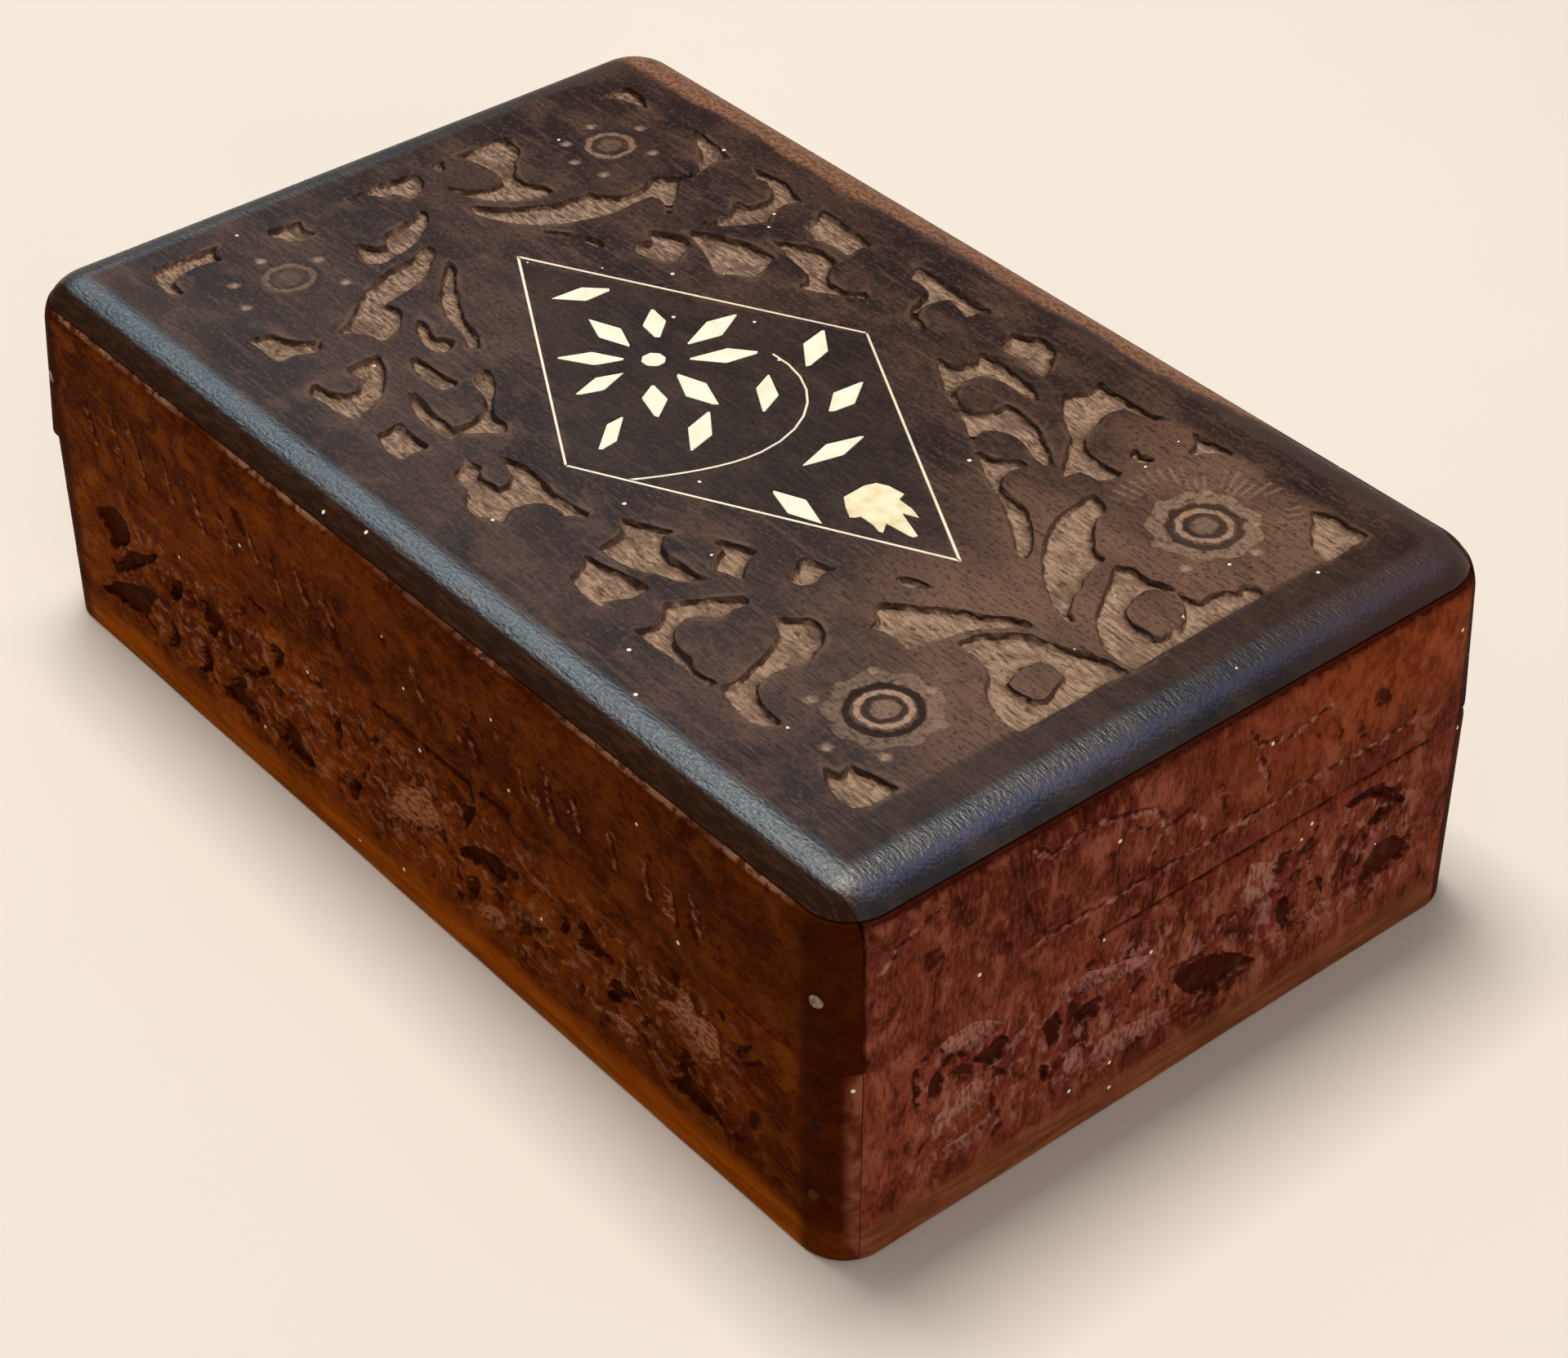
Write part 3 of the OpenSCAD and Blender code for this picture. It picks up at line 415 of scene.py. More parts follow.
def board():
    grounds = [[curved(loop) for loop in region]
               for region in level_regions("lid_top_panel", ground_height())]
    seats = {slot: [[region[0]] for node in inlay_nodes(slot)
                    for region in level_regions(node, TOP_Z)] for slot in ("bone", "brass_wire")}
    u, v = np.meshgrid(*(np.linspace(-half, half, round(2 * half / STEP) + 1)
                         for half in (HALF_W, HALF_D)), indexing="ij")
    # the knife's edge wanders a little from the drawn outline
    cut = depth_inside(u + 0.16 * rough(u, v, 2.2, 41), v + 0.16 * rough(u, v, 2.2, 51), grounds)
    cut = cut * np.where(cut > 0, np.clip(0.8 + 0.6 * rough(u * 0.6, v, 1.5, 61), 0.4, 1.2), 1)
    cut = snap(u, v, cut, (0, CUT_WALL), SNAP * STEP)
    seat = depth_inside(u, v, seats["bone"], 1) + SEAT_PLAY
    wired = depth_inside(u, v, seats["brass_wire"], 1) > -0.5
    seat = snap(u, v, seat, (0,), SNAP * STEP)
    foot_inset = edge_inset(BOARD_Z + BOARD_GAP)
    inset = snap(u, v, inset_at(u, v), (foot_inset,), SNAP * STEP)
    out = inset < foot_inset - 1e-6
    key = 2 * np.clip(cut, -0.3, 0.5) + 3 * np.clip(seat, -0.2, 0.2) + np.clip(inset, 0, 1.5)
    depth, rub = board_relief(u, v, cut, seat)
    waves = 0.03 + 0.03 * rough(u * 0.4, v, 9, 21)
    depth = depth + np.where((seat > -0.5) | wired, 0, waves)
    e = np.clip(EDGE_ROUND - inset, 0, EDGE_ROUND)
    z = TOP_Z - EDGE_ROUND + np.sqrt(EDGE_ROUND**2 - e**2) - np.where(inset > 4.5, depth, 0)
    # the shoulder is worn, so it falls away before the rounding starts
    worn = np.clip((7 - inset) / 2.5, 0, 1)**2 * np.clip((inset - 1) / 3, 0, 1)
    z = z - SHOULDER_WEAR * worn
    on_round = np.clip((inset - 1) / 2, 0, 1) * (inset <= EDGE_ROUND)
    ripple = 0.05 * rough(u * 0.3, v * 0.3, 4, 5) * on_round
    points = np.stack([u, v, z - ripple], -1).reshape(-1, 3)
    tri = lattice_triangles(u.shape, key, out)
    # the underside: a lip inside the foot of the rounded edge, then the tongue between the walls
    foot = max(boundary_loops(tri), key=len)
    n, start = len(foot), len(points)
    lip = points[foot] * [1 - LIP / HALF_W, 1 - LIP / HALF_D, 0] + [0, 0, BOARD_Z]
    tongue = [(sx * INNER_W, sy * INNER_D, z) for z in (BOARD_Z, TONGUE_Z)
              for sx, sy in ((1, 1), (-1, 1), (-1, -1), (1, -1))]
    points = np.concatenate([points, lip, tongue])
    ring = list(range(start, start + n))
    upper = list(range(start + n, start + n + 4))
    lower = [i + 4 for i in upper]
    sides = band(foot, ring) + band(upper, lower)
    sides += fill(points, ring, upper) + [lower[:3], [lower[0], lower[2], lower[3]]]
    # what the material reads, and its values on the underside
    inward_x, inward_y = np.gradient(np.clip(cut, -2, 2), STEP)
    # painted shade: the sides of the cuts that face the front and the left are marked for the material to darken
    painted_shade_side = np.clip(0.45 - 0.9 * inward_y - 0.55 * inward_x, 0, 1)
    rim = np.clip(1 - (inset - 3.5) / 4, 0, 1)
    marks = {mark: np.append(values, np.full(n + 8, below)) for mark, values, below in (
        ("cut", np.clip(cut, -2, 2), -2), ("painted_shade_side", painted_shade_side, 0), ("rub", rub, 0), ("rim", rim, 1))}
    return make_mesh("carved_lid_board", points, np.concatenate([tri, sides]), marks)


def ground_height():
    """Height of the grounds in the CAD board, its third level from the top."""
    co, tri = mesh_data("lid_top_panel")
    z = co[tri][:, :, 2]
    level = z[np.ptp(z, axis=1) < 0.01][:, 0]
    return np.unique(np.round(level, 2))[-3]


def inlay_nodes(slot):
    """The nodes of bone or of wire that are let into the board."""
    return [s["node"] for s in frame["record"]["subparts"] if s["material_slot"] == slot]


def inlay(node, proud, trim=0.0):
    """A piece of bone or wire on the CAD node's outline less trim, with its top edges eased."""
    outline = level_regions(node, TOP_Z)[0][0]
    ahead = unit(np.roll(outline, -1, axis=0) - outline)
    both = ahead + np.roll(ahead, 1, axis=0)
    inward = np.stack([-both[:, 1], both[:, 0]], 1) * (1 if area(outline) > 0 else -1)
    miter = unit(inward) / np.clip(np.linalg.norm(both, axis=1, keepdims=True) / 2, 0.5, 1)
    n = len(outline)
    top = TOP_Z + proud
    outline = outline + miter * trim
    rings = [(outline, INLAY_Z), (outline, top - INLAY_BEVEL),
             (outline + miter * INLAY_BEVEL, top)]
    points = np.concatenate([np.column_stack([ring, np.full(n, z)]) for ring, z in rings])
    foot, edge, face = np.arange(3 * n).reshape(3, n).tolist()
    faces = band(foot, edge) + band(edge, face) + fill(points, foot) + fill(points, face)
    return make_mesh("inlaid_" + node, points, faces, sharp=25)


# ---- carved bands of the walls ----
# Outlines of the cuts, each a row of x and z on the front, and of y and z on the end.
# cuts on the front whose dark colour is painted shadow
FRONT_SHADOWED = [
    (-62.6, 12, -60, 15.6, -57, 18, -53.5, 19.6, -50.7, 21.2, -51, 20.2, -53.8, 17.6, -57, 15.4,
     -60, 13.2),
    (-67.5, 7, -65.4, 8.2, -62, 10.7, -59, 12.2, -56, 13.4, -53, 14.2, -51.6, 14.2, -53.4, 12.2,
     -55, 9.6, -55, 7.8, -60, 7.6, -64, 7.4),
    (-65.6, 20.2, -62.8, 21.6, -60, 22.9, -57.2, 22.2, -57, 20, -58.4, 18, -60.2, 16.8,
     -62.6, 15, -62.6, 17.4, -64, 18.6),
    (-48.9, 15.6, -47, 16.2, -45.7, 17.8, -45, 20.2, -46.9, 19.4, -48.4, 17.6),
    (-41.4, 19.6, -39.6, 20.6, -36.4, 19.8, -37.4, 17.9, -38.4, 15.8, -40.2, 14.4, -40.2, 16.6,
     -41.4, 17.6),
    (-51.2, 7, -48.9, 8, -47.6, 9.8, -47.9, 11.8, -49.2, 12.4, -49.4, 10.2, -50.2, 8.6),
    (-45.4, 6.8, -42.4, 7.8, -40.3, 9.6, -40, 11.2, -41, 13.4, -42.2, 12, -42, 10, -43.2, 8.4),
    (-38.8, 8.6, -36.6, 9.4, -35.6, 11.4, -33, 12.6, -32, 12.4, -33.4, 10.8, -31, 9.6, -30.2, 8,
     -31, 7.2, -35, 7.4, -38.6, 7.6),
    (-33.6, 14.4, -31, 15.2, -29.4, 16, -28.2, 17.6, -26.6, 18.2, -26.2, 17.4, -28.4, 15.8,
     -30.6, 14.4, -33, 13.8),
    (-26, 22, -24.8, 22.9, -22.8, 22.8, -23.2, 20.8, -24.6, 19, -25.6, 19.8),
    (-26.6, 8.2, -25, 9.6, -24.9, 12, -23.6, 12.4, -21.6, 11.4, -21.6, 9.6, -19, 9.2,
     -18.2, 8.2, -19.6, 7.4, -24.4, 7.3),
    (-13.2, 20, -12, 19.8, -11.6, 17.6, -12.2, 15.8, -13.2, 17),
    (-11, 9.6, -9.4, 10.4, -8.4, 11.8, -9.4, 12.2, -10.4, 11.8, -10.8, 10.8),
    (-6, 20.4, -5, 22, -3.6, 22, -4, 20.8),
    (10.6, 22.9, 15.2, 23.4, 14.2, 21.6, 13.2, 19.8, 12.4, 18.4, 11.8, 20.6),
    (10.4, 14.8, 12, 16.4, 14.6, 17.8, 17, 18.8, 19.4, 19.2, 20, 16.8, 19, 15.4, 15.6, 15.2,
     12.6, 14.8),
    (10.8, 7.6, 12, 9.4, 12.2, 11.6, 13.4, 13, 15.2, 13.2, 14.4, 11, 13.6, 9.6, 12.6, 8.4),
    (21.4, 6, 23, 8.2, 23.4, 7.8, 22.2, 6),
    (32.6, 16.4, 33.4, 18.4, 32.8, 20, 34.8, 20.4, 36.6, 19.2, 39.4, 18.6, 39.8, 17.6,
     37.4, 17.2, 35, 16.6),
    (37.6, 11.8, 38.2, 14, 38.6, 15.8, 40.6, 16.6, 43.6, 16, 42.6, 15, 40.8, 14.4, 40, 12.8,
     38.6, 11.9),
    (32.2, 7.8, 33.4, 9, 34.2, 11, 33.2, 11.2, 32.8, 9.4),
    (47, 6.9, 49, 8, 50.2, 9.8, 49.4, 12, 51, 12.2, 52, 10.8, 54.6, 10.2, 58.2, 8, 56, 7.5,
     51, 7.4),
    (43.4, 12.4, 44.8, 14.6, 45.4, 13.6, 44.2, 12.2),
    (29.6, 16.4, 30, 18.4, 31.4, 19.2, 31.6, 17.4, 30.8, 16.2),
]
# cuts on the front of bare wood painted pale with highlight
FRONT_LIT_BARE = [
    (-24.4, 17.4, -22, 18, -18.4, 18, -17.4, 17.2, -18.6, 16.2, -22, 16.2, -24.2, 16.6),
    (-4, 10.2, -2.9, 12.8, -2.2, 15, 0, 17.2, 3, 18.8, 4.4, 20.4, 8.4, 17.2, 6.4, 14.8, 4, 13,
     1, 11.6, -2, 10.6),
    (14.4, 8.2, 15.6, 9.6, 16.8, 10.8, 19, 11, 19.6, 9.6, 18.4, 8.2, 16, 7.7),
    (34.8, 8.8, 38, 10, 41, 10.9, 43, 10.6, 42.8, 8.2, 40.4, 7.6, 37.2, 8.2),
    (45.2, 18.2, 48, 19, 50, 20.6, 50.2, 23, 52.6, 22.6, 53.2, 20.8, 56.6, 21.4, 57.2, 18.6,
     57.4, 16.6, 55, 15.2, 52.2, 15.2, 50, 16.8, 47.4, 17.2),
]
# cuts on the end whose dark colour is painted shadow
END_SHADOWED = [
    (-37.8, 23.6, -36.8, 24, -37, 21, -36.6, 18.6, -36.8, 16.6, -37.6, 18.6, -37.9, 21),
    (-29.8, 19.8, -27.6, 20.8, -25.4, 21.4, -24.6, 19.6, -24.8, 18.2, -26.6, 17.4),
    (-36, 18.8, -35.2, 21.2, -33.9, 22.2, -33.4, 20.2, -33.9, 18, -35.4, 16.9),
    (-19.8, 13.6, -18.8, 12.4, -18, 10.4, -19, 10, -19.8, 11.8),
    (-20.2, 19, -17.8, 19.9, -17, 18.4, -17.4, 15.6, -18.6, 14.4, -19.4, 17),
    (-15, 18.4, -11.2, 18.4, -10.8, 17, -12, 15.4, -15, 16),
    (0, 14.8, 3, 14.6, 6, 14, 9.4, 12, 11.4, 10.2, 13.2, 8.6, 10, 8.8, 7, 8.1, 5, 8.6, 2, 10.4,
     0.4, 12.4),
    (15.3, 16.2, 16.8, 16.4, 17.4, 14, 18.4, 11.8, 17, 10.8, 15.8, 12.4, 15.2, 14.6),
    (20.8, 16.8, 22.2, 15.8, 23, 13.6, 22.2, 13.2, 21.6, 15),
    (29.8, 11.6, 30.2, 14, 31, 15.2, 33.6, 15.4, 35.4, 14, 37, 11, 35.4, 10.8, 32.6, 10.4,
     30.4, 11),
    (25, 24.6, 29, 24.7, 32.6, 23, 34.8, 20.4, 36, 18.8, 33.9, 20, 31, 22.2, 28, 23.4,
     26, 23.4),
    (28.8, 19.4, 31, 20.8, 33, 19.8, 32.2, 18.8, 30.2, 18.6),
]
# cuts on the end of bare wood painted pale with highlight
END_LIT_BARE = [
    (-34.8, 25, -32.6, 25.3, -29.4, 25.2, -26.4, 23.8, -25, 22.4, -27.6, 21.8, -30, 21,
     -32, 21.6, -33.2, 22.8),
    (-35, 14.4, -32.4, 16, -29, 17.2, -26.8, 15, -26.9, 13.7, -30, 12.9, -33, 11.2, -34.8, 10.8,
     -34.9, 12.6),
    (-33.4, 9.6, -29, 10, -26.8, 10, -25.4, 8.9, -29, 8.2, -32.4, 8.4),
    (-16.6, 10, -15.6, 12.4, -14.6, 13.2, -13.2, 12.6, -12.9, 10.6, -13.6, 8.8, -15.4, 8.4),
    (-12.1, 10.2, -11, 11.6, -8, 11.2, -5, 10.8, -2, 10.2, -0.4, 9.4, -0.4, 8, -4, 7.7, -7, 7.9,
     -10, 7.8, -12.2, 8.4),
    (-17.8, 21.8, -15, 22.6, -10, 21.6, -5, 20, -2, 18.6, -5, 17.6, -10, 19.6, -14, 20,
     -17.2, 20.9),
    (9.6, 18.4, 10, 22, 11, 24, 13.4, 22.8, 15.2, 21.4, 15.4, 18.8, 16.2, 17.4, 13.6, 17,
     11, 17.2),
    (18.4, 10.1, 20.4, 11.4, 24.6, 11.2, 26, 10, 23, 9.7),
]
# single cuts of the knife on the bands and on the lid's walls
FRONT_LINES = [
    (-30, 26.4, -26.5, 26.5), (-5, 26.6, 0, 26.5), (1.5, 26.4, 14, 26.5), (16, 26.5, 21, 26.6),
    (60, 20.4, 62, 22.6), (61.6, 19.8, 63.8, 21.6), (14, 26.8, 14.4, 23),
    (-8, 13.6, -6.4, 16.4), (24.6, 12.6, 27.6, 14.4),
]
END_LINES = [
    (-12, 26.8, 38, 26.8), (-26.6, 17.2, -24.8, 15.2), (-26.6, 13.4, -26.4, 10.6, -25, 9.2),
    (-1.2, 12.4, -0.4, 11), (35.8, 13.6, 37, 11.6), (26, 13, 26.4, 17, 28.6, 19),
    (27.4, 12.8, 29.4, 16.4, 28.6, 19),
]
LID_FRONT_LINES = [
    (-63.6, 36.6, -61.8, 31), (-57.6, 37.4, -55.8, 31.4), (-52, 36, -50.4, 30.6),
    (-46, 37.6, -44.4, 32), (-39.8, 36.8, -38, 31.2), (-34, 36, -31.4, 31.6),
    (-28, 37, -26, 33.6), (-23.6, 35.6, -21.4, 30.4), (-18.6, 38, -16, 33),
    (-12.6, 36, -11, 33), (4.6, 36.6, 6.2, 33.2), (14.2, 35, 15.8, 31.6), (24, 35, 24.8, 31),
    (29, 37, 29.6, 31), (33.4, 37, 34.6, 33), (39.6, 36, 40.8, 31.8), (45.4, 36.4, 46.4, 31.4),
    (49.8, 35.2, 50.6, 31), (53.4, 36.4, 54.6, 32),
]
LID_END_LINES = [
    (-42, 39.4, -40, 41.8, -34, 44),
    (-22, 44.4, -19.6, 42.4, -14, 43.4, -9.6, 42, -5, 40.4, -3, 37, -5, 34),
    (-4, 36.5, 0, 37.6, 3, 34), (8, 44, 10, 41, 15, 39.6, 21.6, 40.8),
    (-21, 31.2, 10, 31.4, 37, 31.2), (10, 39.6, 12, 36, 12, 33), (-8, 39.6, -6, 38),
]
BAND_WALL = 0.4          # width of a cut's sloping side on the walls
BAND_DEPTH = 0.6
PLAIN_END = 7.2          # length of a wall's end that is left uncarved
LINE_WIDTH = 0.9         # of a single cut of the knife
LINE_REACH = 1.2         # distance from it that still counts

# by the body and the axis that its wall runs along: shadowed cuts, pale lit cuts and single cuts
CARVING = {
    ("base", 0): (FRONT_SHADOWED, FRONT_LIT_BARE, FRONT_LINES),
    ("base", 1): (END_SHADOWED, END_LIT_BARE, END_LINES),
    ("lid", 0): ([], [], LID_FRONT_LINES),
    ("lid", 1): ([], [], LID_END_LINES),
}


def outlines(rows, sign):
    """Rows of coordinates as points, turned half round where sign is -1."""
    return [np.reshape(row, (-1, 2)) * (sign, 1.0) for row in rows]


def wall(body, place, axis, side, seed):
    """A wall of the tray or the lid: axis is the one it runs along, side the sign of its place."""
    in_lid = body == "lid"
    half_run, half_out = (HALF_D, HALF_W) if axis else (HALF_W, HALF_D)
    z0, z1 = (SEAM_Z, BOARD_Z - BOARD_GAP) if in_lid else (0, SEAM_Z)
    # how far the face lies back at each height, for the eased edges and the chamfer of the back
    inner_z = np.linspace(z0 + 1, z1 - 1, round((z1 - z0 - 2) / WALL_STEP) + 1)
    z = np.concatenate([z0 + EDGE_ROWS, inner_z, z1 - EDGE_ROWS[::-1]])
    at_foot, at_top = (0.08, 0.3) if in_lid else (0.4, 0.08)
    eased = np.where(z > (z0 + z1) / 2, at_top, at_foot)
    lift = np.clip(eased - np.minimum(z - z0, z1 - z), 0, eased)
    base = 0.8 * edge_inset(z) + eased - np.sqrt(eased**2 - lift**2)
    if axis == 0 and side > 0:
        slope = math.tan(math.radians(STOP_ANGLE / 2))
        base = np.maximum(base, HALF_D - HINGE_AXIS[1] + 0.03 - np.abs(z - SEAM_Z) / slope)
    # the lattice: a plain core, then at each end a shoulder and the turn of the corner
    core = half_run - CORNER_RUN
    lap_end = half_run - LAP - (LAP_GAP if in_lid else TRAY_LAP_GAP)
    ends = {}
    for sign in (-1, 1):
        r = corner_radius(*((side, sign) if axis else (sign, side)), z)
        if axis:
            end = np.arcsin(np.clip((lap_end - half_run + r) / (r - base), 0.04, 1))
            straight = lap_end - (r - base) * np.sin(end)
        else:
            end = np.arccos((r - LAP) / (r - base))
            straight = half_run - r
        shoulder = core + (straight - core) * np.linspace(0, 1, 11)[1:, None]
        turn = end * np.linspace(0, 1, 13)[1:, None]
        ends[sign] = (np.concatenate([shoulder, straight + (r - base) * np.sin(turn)]),
                      np.concatenate([0 * shoulder, (r - base) * (1 - np.cos(turn))]))
    middle = np.linspace(-core, core, round(2 * core / WALL_STEP) + 1)[:, None] + 0 * z
    run = np.concatenate([-ends[-1][0][::-1], middle, ends[1][0]])
    drop = np.concatenate([ends[-1][1][::-1], 0 * middle, ends[1][1]])
    height = z + 0 * run
    # the carving
    shadowed_cuts, lit_bare_cuts, lines = (outlines(rows, side if axis else -side)
                                   for rows in CARVING[body, axis])
    at = [t + 0.2 * rough(run, height, 2, seed + k) for t, k in ((run, 2), (height, 3))]
    dark, pale = (depth_inside(*at, [[curved(outline)] for outline in cuts], 2)
                  for cuts in (shadowed_cuts, lit_bare_cuts))
    cut = np.maximum(pale, dark)
    if not in_lid:
        cut = snap(run, height, cut, (0, BAND_WALL), SNAP * WALL_STEP)
    line = line_distance(run, height, lines)
    gouge = 0.12 * rough(run, height * 0.7, 1.8, seed) * (cut > 0)
    depth = np.clip(cut / BAND_WALL, 0, 1) * (BAND_DEPTH + gouge)
    depth = np.maximum(depth, groove(line, LINE_WIDTH, 0.16 if in_lid else 0.3))
    # chips and shallow knife work over the whole band
    plain = np.clip((half_run - PLAIN_END - 0.3 - np.abs(run)) / 4, 0, 1)
    low_z, high_z = (29, 40) if in_lid else (5.5, 25.5)
    chips = plain * np.clip((height - low_z) / 1.5, 0, 1) * np.clip((high_z - height) / 1.5, 0, 1)
    if in_lid:
        chips = chips * rough(run + 0.4 * height, height * 0.3, 1.6, seed + 7)
        depth = depth + 0.2 * np.clip(chips, 0, 1)
    else:
        chips = chips * rough(run, height, 2.6, seed + 7)
        depth = depth + 0.8 * np.clip(chips - 0.15, 0, 1)
    depth = depth + plain * 0.1 * rough(run * 0.35, height, 5, seed + 5)
    depth = np.where(np.minimum(height - z0, z1 - height) < 0.3, 0, depth)
    out = half_out - base - drop - np.where(np.abs(run) < half_run - PLAIN_END, depth, 0)
    points = np.stack([side * out, run, height] if axis else [run, side * out, height], -1)
    tri = lattice_triangles(run.shape, np.clip(cut, -0.4, 1) + np.clip(line, 0, 0.6))
    # the closing faces: foot, top, the two laps and the inside
    if axis:
        section = [(side * INNER_W, end * lap_end) for end in (1, -1)]
    else:
        section = [(end * INNER_W, side * y) for end, y in (
            (1, HALF_D - LAP), (1, INNER_D), (-1, INNER_D), (-1, HALF_D - LAP))]
    inner = [(x, y, level) for level in (z[0], z[-1]) for x, y in section]
    points = np.concatenate([points.reshape(-1, 3), inner])
    column = np.arange(run.size).reshape(run.shape)
    foot, top = np.arange(run.size, len(points)).reshape(2, -1).tolist()
    faces = fill(points, column[:, 0].tolist() + foot)
    faces += fill(points, column[:, -1].tolist() + top)
    faces += fill(points, column[-1].tolist() + [top[0], foot[0]], axes=(0, 2))
    faces += fill(points, column[0].tolist() + [top[-1], foot[-1]], axes=(0, 2))
    faces += band(foot, top)[:-2]
    # what the material reads: distances inside cuts painted with shadow and inside pale flakes painted with
    # highlight, plus 2
    dark = np.maximum(np.maximum(dark, (0.3 if in_lid else 0.4) - line), 1.5 * chips - 0.6)
    pale = np.maximum(pale, -1.5 * chips - 0.9)
    if in_lid:
        # painted highlight along one side of each knife line
        pale = np.maximum(pale, 0.3 - line_distance(run + 0.6, height + 0.2, lines))
    # painted shadow along the top of the lid's end walls, under the board
    if in_lid and axis:
        dark = np.maximum(dark, height - z1 + 0.6)
    wear = np.clip(0.5 + 1.5 * rough(run, height, 9, seed + 9), 0, 1) * (height > z1 - 0.35)
    wear = wear * (in_lid and not axis)
    marks = {mark: np.append(np.clip(values, 0, 4), np.zeros(len(inner))) for mark, values in (
        ("pale", pale + 2), ("cut", dark + 2), ("wear", wear), ("outer", np.ones(run.shape)))}
    return make_mesh(f"{'lid' if in_lid else 'tray'}_{place}", points,
                     np.concatenate([tri, faces]), marks)


def close_seams(work):
    """Splits each open edge at the corner that lies on it, so that the faces beside it meet."""
    corners = [corner for corner in work.verts if corner.is_boundary]
    for edge in [edge for edge in work.edges if edge.is_boundary]:
        start, end = edge.verts
        along = end.co - start.co
        for corner in corners:
            share = (corner.co - start.co).dot(along) / along.length_squared
            if 0 < share < 1 and (start.co + along * share - corner.co).length < 1e-6:
                bmesh.utils.edge_split(edge, start, share)[1].co = corner.co
                break
    bmesh.ops.remove_doubles(work, verts=work.verts, dist=WELD)


def cut_away(obj, boxes):
    """Cuts boxes, each a low and a high corner, out of an object for good."""
    for lo, hi in boxes:
        bpy.ops.mesh.primitive_cube_add(size=1)
        tool = bpy.context.object
        tool.matrix_world = (Matrix.Translation((np.array(lo) + hi) / 2 * MM)
                             @ Matrix.Diagonal((*((np.array(hi) - lo) * MM), 1)))
        seat = obj.modifiers.new("seat", "BOOLEAN")
        seat.object, seat.operation, seat.solver = tool, "DIFFERENCE", "EXACT"
        bpy.context.view_layer.update()
        graph = bpy.context.evaluated_depsgraph_get()
        mesh = bpy.data.meshes.new_from_object(obj.evaluated_get(graph))
        obj.modifiers.clear()
        obj.data = mesh
        bpy.data.objects.remove(tool)
    with editing(obj.data) as work:
        bmesh.ops.remove_doubles(work, verts=work.verts, dist=WELD)
        bmesh.ops.triangulate(work, faces=work.faces)
        for _ in range(3):
            close_seams(work)


def hinge_seats(up):
    """The boxes cut from a back wall for its leaves; up is 1 in the lid and -1 in the tray."""
    boxes = []
    for hand in ("left", "right"):
        leaf = f"{hand}_hinge_{'lid' if up > 0 else 'base'}_leaf"
        lo, hi = low(leaf), high(leaf)
        # the plate's seat, then the deeper notch for the knuckles: play, front and height
        for play, front, tall in ((0.1, lo[1] - 0.1, 0.88), (0.25, HINGE_AXIS[1] - 1.85, 1.85)):
            z = sorted((SEAM_Z - up, SEAM_Z + up * tall))
            boxes.append(((lo[0] - play, front, z[0]), (hi[0] + play, HALF_D + 3, z[1])))
    return boxes


# ---- lining and nails ----
def lining():
    """The velvet laid in the tray: thin, a little uneven, with soft edges."""
    lo, hi = low("base_lining"), high("base_lining")
    x, y = np.meshgrid(*(np.linspace(lo[k], hi[k], round((hi[k] - lo[k]) / VELVET_STEP) + 1)
                         for k in (0, 1)), indexing="ij")
    inset = np.minimum(np.minimum(x - lo[0], hi[0] - x), np.minimum(y - lo[1], hi[1] - y))
    rounding = 0.9 * np.clip(1 - inset / 1.2, 0, 1) ** 2
    z = hi[2] - 0.08 + 0.08 * rough(x, y, 14, 31) - rounding
    points = np.stack([x, y, z], -1).reshape(-1, 3)
    tri = lattice_triangles(x.shape, z)
    edge = max(boundary_loops(tri), key=len)
    foot = list(range(len(points), len(points) + len(edge)))
    points = np.concatenate([points, points[edge] * [1, 1, 0] + [0, 0, lo[2]]])
    sides = band(edge, foot) + fill(points, foot)
    return make_mesh("velvet_lining", points, np.concatenate([tri, sides]), sharp=60)


# a nail's outline, as radius and distance behind the wall's face: its head, then its shank
NAIL = ((0.0, 0.0), (0.45, 0.0), (0.8, 0.0), (0.8, 0.6), (0.5, 0.7), (0.5, 11.0))
NAIL_SIDES = 14
NAIL_INSET = 4           # from the end of the case to the nail's middle
NAIL_PROUD = 0.04


def corner_nails(node, name, heights):
    """Filed nail heads that follow the walls' rounded corners, each on its own shank."""
    points, faces = [], []
    for (sx, sy), at in itertools.product(CORNERS, heights):
        radius = float(corner_radius(sx, sy, at))
        rings = np.arange(len(points), len(points) + len(NAIL) * NAIL_SIDES)
        rings = rings.reshape(len(NAIL), NAIL_SIDES)
        for (r, back), k in itertools.product(NAIL, range(NAIL_SIDES)):
            turn = 2 * math.pi * k / NAIL_SIDES
            x, z = HALF_W - NAIL_INSET + r * math.cos(turn), at + r * math.sin(turn)
            past = max(x - HALF_W + radius, 0)
            y = HALF_D - radius + math.sqrt(radius**2 - past**2) + NAIL_PROUD - back
            points.append((sx * x, sy * y, z))
        faces += band(rings[0], rings[1])[1::2]
        for lower, upper in zip(rings[1:], rings[2:]):
            faces += band(lower, upper)
        faces += [[rings[-1][0], *pair] for pair in zip(rings[-1][1:], rings[-1][2:])]
    obj = make_mesh(name, points, faces)
    with editing(obj.data) as work:
        bmesh.ops.remove_doubles(work, verts=work.verts, dist=1e-6)
        bmesh.ops.recalc_face_normals(work, faces=work.faces)
    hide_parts(node)
    return obj


# ---- materials ----
class Term:
    """A number in a finish's node tree; arithmetic on it adds nodes."""

    def __init__(self, finish, socket):
        self.finish, self.socket = finish, socket

    def __add__(self, other):
        return self.finish.math("ADD", self, other)

    def __sub__(self, other):
        return self.finish.math("SUBTRACT", self, other)

    def __mul__(self, other):
        return self.finish.math("MULTIPLY", self, other)

    def __truediv__(self, other):
        return self.finish.math("DIVIDE", self, other)

    def __abs__(self):
        return self.finish.math("ABSOLUTE", self)


